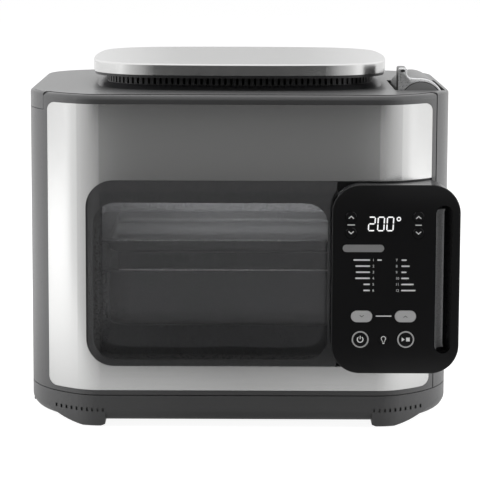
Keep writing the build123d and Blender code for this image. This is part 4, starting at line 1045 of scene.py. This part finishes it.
# %% Arrows: middle of each key, and 1 for up or -1 for down
ARROW, SMALL_ARROW = (5.6, 2.6, 0.9), (4.2, 1.8, 0.6)
ARC_OUTER = 5.35
keys = {
    "temp_up_button": (108.5, 213.5, 1),
    "temp_down_button": (108.5, 197.8, -1),
    "time_up_button": (173.8, 213.6, 1),
    "time_down_button": (173.8, 197.7, -1),
}
for body, (x, z, way) in keys.items():
    chevron = bmesh.new()
    flat_chevron(chevron, (x, z), *ARROW, way)
    key_print(body.replace("button", "chevron"), chevron, body, pale_ink)
    arcs = bmesh.new()
    flat_arc(arcs, (x, z), ARC_OUTER, 5.0, math.radians(5), math.radians(70), 16)
    flat_arc(arcs, (x, z), ARC_OUTER, 5.05, math.radians(125), math.radians(35), 10)
    key_print(body.replace("button", "arc"), arcs, body, faint_ink)

function_keys = {
    "function_down_button": (119.6, 115.8, -1),
    "function_up_button": (162.3, 115.9, 1),
}
for body, (x, z, way) in function_keys.items():
    chevron = bmesh.new()
    flat_chevron(chevron, (x, z), *SMALL_ARROW, way)
    key_print(body.replace("button", "chevron"), chevron, body, dark_ink, 0.05)
print("arrows on", len(keys) + len(function_keys), "keys")

# %% [markdown]
# ## Vent lever
# The real lever is one moulding: a fin that the thumb pushes, which runs down in a hollow curve
# into an arch. Its edge is rounded and catches the light as a bright line. A flat outline, pushed
# back and bevelled, gives that edge: once as a thin plate and once as the dull block behind it. The
# plate gets a bright metallic copy of the lever's grey, a painted highlight on the front face and
# its rounded edge, while the block keeps the plain grey moulding. The drum further back keeps the
# shape of its solid, which is cut where the block ends.

# %% Outline of the lever's front, in millimetres
LEVER_PIVOT = (180.5, 317.3)
LEVER_FRONT = -99.0
LEVER_BLOCK = 30.0
LEVER_PLATE = 1.6
LEVER_GAP = 0.05
DRUM_GAP = 0.2
DRUM_RADIUS = 24.0


def arc_points(centre, radius, start, end, steps):
    angles = [math.radians(start + (end - start) * i / steps) for i in range(steps + 1)]
    return [(centre[0] + radius * math.cos(a), centre[1] + radius * math.sin(a)) for a in angles]


def lever_outline():
    points = [(158.6, 325.3)]
    points += arc_points((160.4, 350.0), 1.8, 180, 90, 5)
    points += arc_points((165.4, 350.0), 1.8, 90, 0, 5)
    points += arc_points((171.4, 345.9), 4.2, 180, 270, 8)
    points += arc_points(LEVER_PIVOT, DRUM_RADIUS, 96, 25, 24)
    points += [(181.0, 323.6)]
    return points


print("lever outline:", len(lever_outline()), "points")


# %% Plate, block and drum of the lever
def lever_slab(name, front_y, depth, rounding, finish):
    bm = bmesh.new()
    outline = [bm.verts.new((x * MM, front_y * MM, z * MM)) for x, z in lever_outline()]
    front = bm.faces.new(outline)
    pushed = bmesh.ops.extrude_face_region(bm, geom=[front], use_keep_orig=True)
    back = [item for item in pushed["geom"] if isinstance(item, bmesh.types.BMVert)]
    bmesh.ops.translate(bm, verts=back, vec=(0.0, depth * MM, 0.0))
    bmesh.ops.recalc_face_normals(bm, faces=bm.faces)
    front_most = (front_y + 0.01) * MM
    near = [edge for edge in bm.edges if all(vert.co.y < front_most for vert in edge.verts)]
    bmesh.ops.bevel(
        bm,
        geom=near,
        offset=rounding * MM,
        segments=3,
        profile=0.5,
        affect="EDGES",
        material=-1,
        clamp_overlap=True,
    )
    return placed(name, bm, "vent_lever", finish, math.radians(28))


def lever_piece():
    bm = bmesh.new()
    bm.from_mesh(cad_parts["vent_lever"].data)
    bmesh.ops.remove_doubles(bm, verts=bm.verts, dist=0.00002)
    bmesh.ops.bisect_plane(
        bm,
        geom=bm.verts[:] + bm.edges[:] + bm.faces[:],
        dist=0.000001,
        plane_co=(0.0, (LEVER_FRONT + LEVER_BLOCK + DRUM_GAP) * MM, 0.0),
        plane_no=(0.0, 1.0, 0.0),
        clear_inner=True,
    )
    open_edges = [edge for edge in bm.edges if edge.is_boundary]
    bmesh.ops.triangle_fill(bm, edges=open_edges, use_beauty=True)
    drum = placed("lever_drum", bm, "vent_lever", grey_moulding, math.radians(30))

    block_front = LEVER_FRONT + LEVER_PLATE + LEVER_GAP
    block_depth = LEVER_BLOCK - LEVER_PLATE - LEVER_GAP
    # The plate's bright metallic finish is painted highlight on the lever's front and its rounded
    # edge.
    plate = lever_slab("lever_front", LEVER_FRONT, LEVER_PLATE, 0.9, lever_painted_highlight)
    block = lever_slab("lever_block", block_front, block_depth, 0.3, grey_moulding)
    for part in (drum, plate, block):
        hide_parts("vent_lever")
    return plate


lever = lever_piece()
print("lever:", tuple(round(v * 1000, 1) for v in lever.dimensions))

# %% [markdown]
# ### Band, line and recess shade on the lever
# A duller band follows the arch, with a dark line along its outer edge, and the tip of the fin has
# a small recess, whose shade is painted as a dark pill. All three are drawn as thin pieces on the
# plate, like the print on the panel.

# %% Band in the arch and the painted shade of the small recess at the fin's tip
BAND_CENTRE = (181.8, 316.8)
LEVER_PRINT, LEVER_PRINT_THICKNESS = LEVER_FRONT - 0.05, 0.12


def lever_print(name, bm, finish):
    """Lays a flat drawing on the lever's plate."""
    thickness = LEVER_PRINT_THICKNESS
    return printed(name, bm, LEVER_PRINT, thickness, "vent_lever", finish)


band = bmesh.new()
flat_arc(band, BAND_CENTRE, 20.4, 11.5, math.radians(30), math.radians(116), 32)
lever_print("lever_band", band, lever_band_finish)
edge_line = bmesh.new()
flat_arc(edge_line, BAND_CENTRE, 21.4, 20.5, math.radians(32), math.radians(114), 32)
lever_print("lever_line", edge_line, dark_moulding)
# A dark pill on the plate is painted shade: it stands for the small recess at the fin's tip.
recess = bmesh.new()
flat_pill(recess, (162.9, 348.7), 4.4, 2.6, 6)
recess_shade_piece = lever_print("lever_recess_shade", recess, dark_moulding)
print("recess:", tuple(round(v * 1000, 1) for v in recess_shade_piece.dimensions))

# %% [markdown]
# ## Grip slot
# The slot's left wall is a scoop for the fingertips. It is a thin shell that curves from the front
# edge to the floor of the slot, and it shades from light to black as it turns away from the lamp.
# Its pale grey finish is painted light: it stands in for the lamp's light on the wall of the black
# slot.
# Its plan is a quarter of an ellipse. The plan is drawn at four heights, a little smaller at both
# ends, the four lines are bridged, and Solidify gives the sheet its wall.

# %% Scoop in the grip slot
SCOOP_EDGE = (191.3, -188.3)
SCOOP_WIDTH, SCOOP_DEPTH, SCOOP_WALL = 8.4, 12.5, 0.3
SCOOP_STEPS = 12
SCOOP_HEIGHTS = ((83.5, 1.0), (86.5, 0.0), (217.0, 0.0), (220.0, 1.0))
# The scoop's pale grey is painted light on the slot's wall, not the colour of the slot.
scoop_painted_light = surface(
    "satin_scoop_painted_light", (0.40, 0.40, 0.405), 0.30, metallic=0.2, drift=0.06, grain=0.08
)


def slot_scoop():
    bm = bmesh.new()
    plan = []
    for step in range(SCOOP_STEPS + 1):
        turn = math.pi / 2 * step / SCOOP_STEPS
        x = SCOOP_EDGE[0] + SCOOP_WIDTH * (1 - math.cos(turn))
        plan.append((x, SCOOP_EDGE[1] + SCOOP_DEPTH * math.sin(turn)))
    runs = []
    for height, inset in SCOOP_HEIGHTS:
        verts = [bm.verts.new(((x + inset) * MM, y * MM, height * MM)) for x, y in plan]
        runs.append([bm.edges.new(pair) for pair in zip(verts, verts[1:])])
    for low, high in zip(runs, runs[1:]):
        bmesh.ops.bridge_loops(bm, edges=low + high)
    bmesh.ops.recalc_face_normals(bm, faces=bm.faces)
    bmesh.ops.solidify(bm, geom=bm.faces[:], thickness=SCOOP_WALL * MM)
    bmesh.ops.recalc_face_normals(bm, faces=bm.faces)
    return placed("grip_scoop", bm, "door", scoop_painted_light, math.radians(40))


scoop = slot_scoop()
print("scoop:", tuple(round(v * 1000, 1) for v in scoop.dimensions))

# %% [markdown]
# ## Upper end of the window beside the neck
# The window's glass ends in a straight line, and the neck beside it has a round upper corner. A
# black fillet fills the small open corner between the two, so that nobody looks past the glass into
# the door. Its outline is the neck's own arc, closed by one point at the glass.

# %% Fillet between the glass and the neck
GLASS_FRONT = -168.2
NECK_CORNER, NECK_RADIUS = (118.7, 215.7), 28.8
FILLET_FROM, FILLET_TO = 93, 142
FILLET_TIP, FILLET_DEPTH = (96.0, 245.2), 4.0


def window_end_fillet():
    bm = bmesh.new()
    points = arc_points(NECK_CORNER, NECK_RADIUS, FILLET_FROM, FILLET_TO, 12) + [FILLET_TIP]
    outline = [bm.verts.new((x * MM, GLASS_FRONT * MM, z * MM)) for x, z in points]
    front = bm.faces.new(outline)
    pushed = bmesh.ops.extrude_face_region(bm, geom=[front], use_keep_orig=True)
    back = [item for item in pushed["geom"] if isinstance(item, bmesh.types.BMVert)]
    bmesh.ops.translate(bm, verts=back, vec=(0.0, FILLET_DEPTH * MM, 0.0))
    bmesh.ops.recalc_face_normals(bm, faces=bm.faces)
    return placed("window_end_top", bm, "door", gloss_panel, math.radians(35))


fillet = window_end_fillet()
print("fillet:", tuple(round(v * 1000, 1) for v in fillet.dimensions))

# %% [markdown]
# ## Rolled rims of pan and tray
# Sheet steel is rolled over at the rim, and the roll is what shines through the tinted window. Each
# roll is a circle pushed along the rim, and the edges of both ends are bevelled, as a wire's are.

# %% Rolled rims
RIM_FRONT = -107.6
RIM_HALF_LENGTH, RIM_RADIUS = 122.0, 0.9
TRAY_RIM, PAN_RIM = 178.6, 148.6
rim_steel = surface(
    "polished_rim",
    (0.62, 0.62, 0.61),
    0.24,
    metallic=0.9,
    drift=0.3,
    drift_scale=(14.0, 200.0, 200.0),
    grain=0.04,
)


def rolled_rim(name, z, half_length, radius):
    bm = bmesh.new()
    made = bmesh.ops.create_circle(bm, cap_ends=True, segments=16, radius=radius * MM)
    bmesh.ops.rotate(bm, verts=made["verts"], matrix=Matrix.Rotation(math.pi / 2, 3, "Y"))
    start = (-half_length * MM, RIM_FRONT * MM, z * MM)
    bmesh.ops.translate(bm, verts=made["verts"], vec=start)
    pushed = bmesh.ops.extrude_face_region(bm, geom=bm.faces[:], use_keep_orig=True)
    far = [item for item in pushed["geom"] if isinstance(item, bmesh.types.BMVert)]
    bmesh.ops.translate(bm, verts=far, vec=(2 * half_length * MM, 0.0, 0.0))
    bmesh.ops.recalc_face_normals(bm, faces=bm.faces)
    ends = [edge for edge in bm.edges if abs(edge.verts[0].co.x - edge.verts[1].co.x) < 1e-6]
    bmesh.ops.bevel(
        bm,
        geom=ends,
        offset=radius * 0.45 * MM,
        segments=2,
        profile=0.5,
        affect="EDGES",
        material=-1,
    )
    return placed(name, bm, "root", rim_steel, math.radians(40))


rims = [
    rolled_rim("tray_rim", TRAY_RIM, RIM_HALF_LENGTH, RIM_RADIUS),
    rolled_rim("pan_rim", PAN_RIM, RIM_HALF_LENGTH, RIM_RADIUS),
]
print("rims:", [tuple(round(v * 1000, 1) for v in rim.dimensions) for rim in rims])

# %% [markdown]
# ## Lamps inside the cavity
# Tinted glass lets little light in, so the cavity needs light of its own to show through the two
# panes. Two long narrow lamps hang under its ceiling: one lights the back of the cavity, and a much
# weaker one at the front picks out the two rims.

# %% Lamps under the cavity's ceiling: place, aim, size and power in watts
cavity_lamps = {
    "cavity_lamp": ((0.0, 0.03, 0.238), (0.0, 0.127, 0.212), (0.22, 0.02), 1.6),
    "rim_lamp": ((0.0, -0.09, 0.236), (0.0, -0.108, 0.10), (0.20, 0.008), 0.12),
}
for name, (place, aim, size, power) in cavity_lamps.items():
    soft_lamp(name, place, aim, size, power)
print("cavity lamps:", len(cavity_lamps))
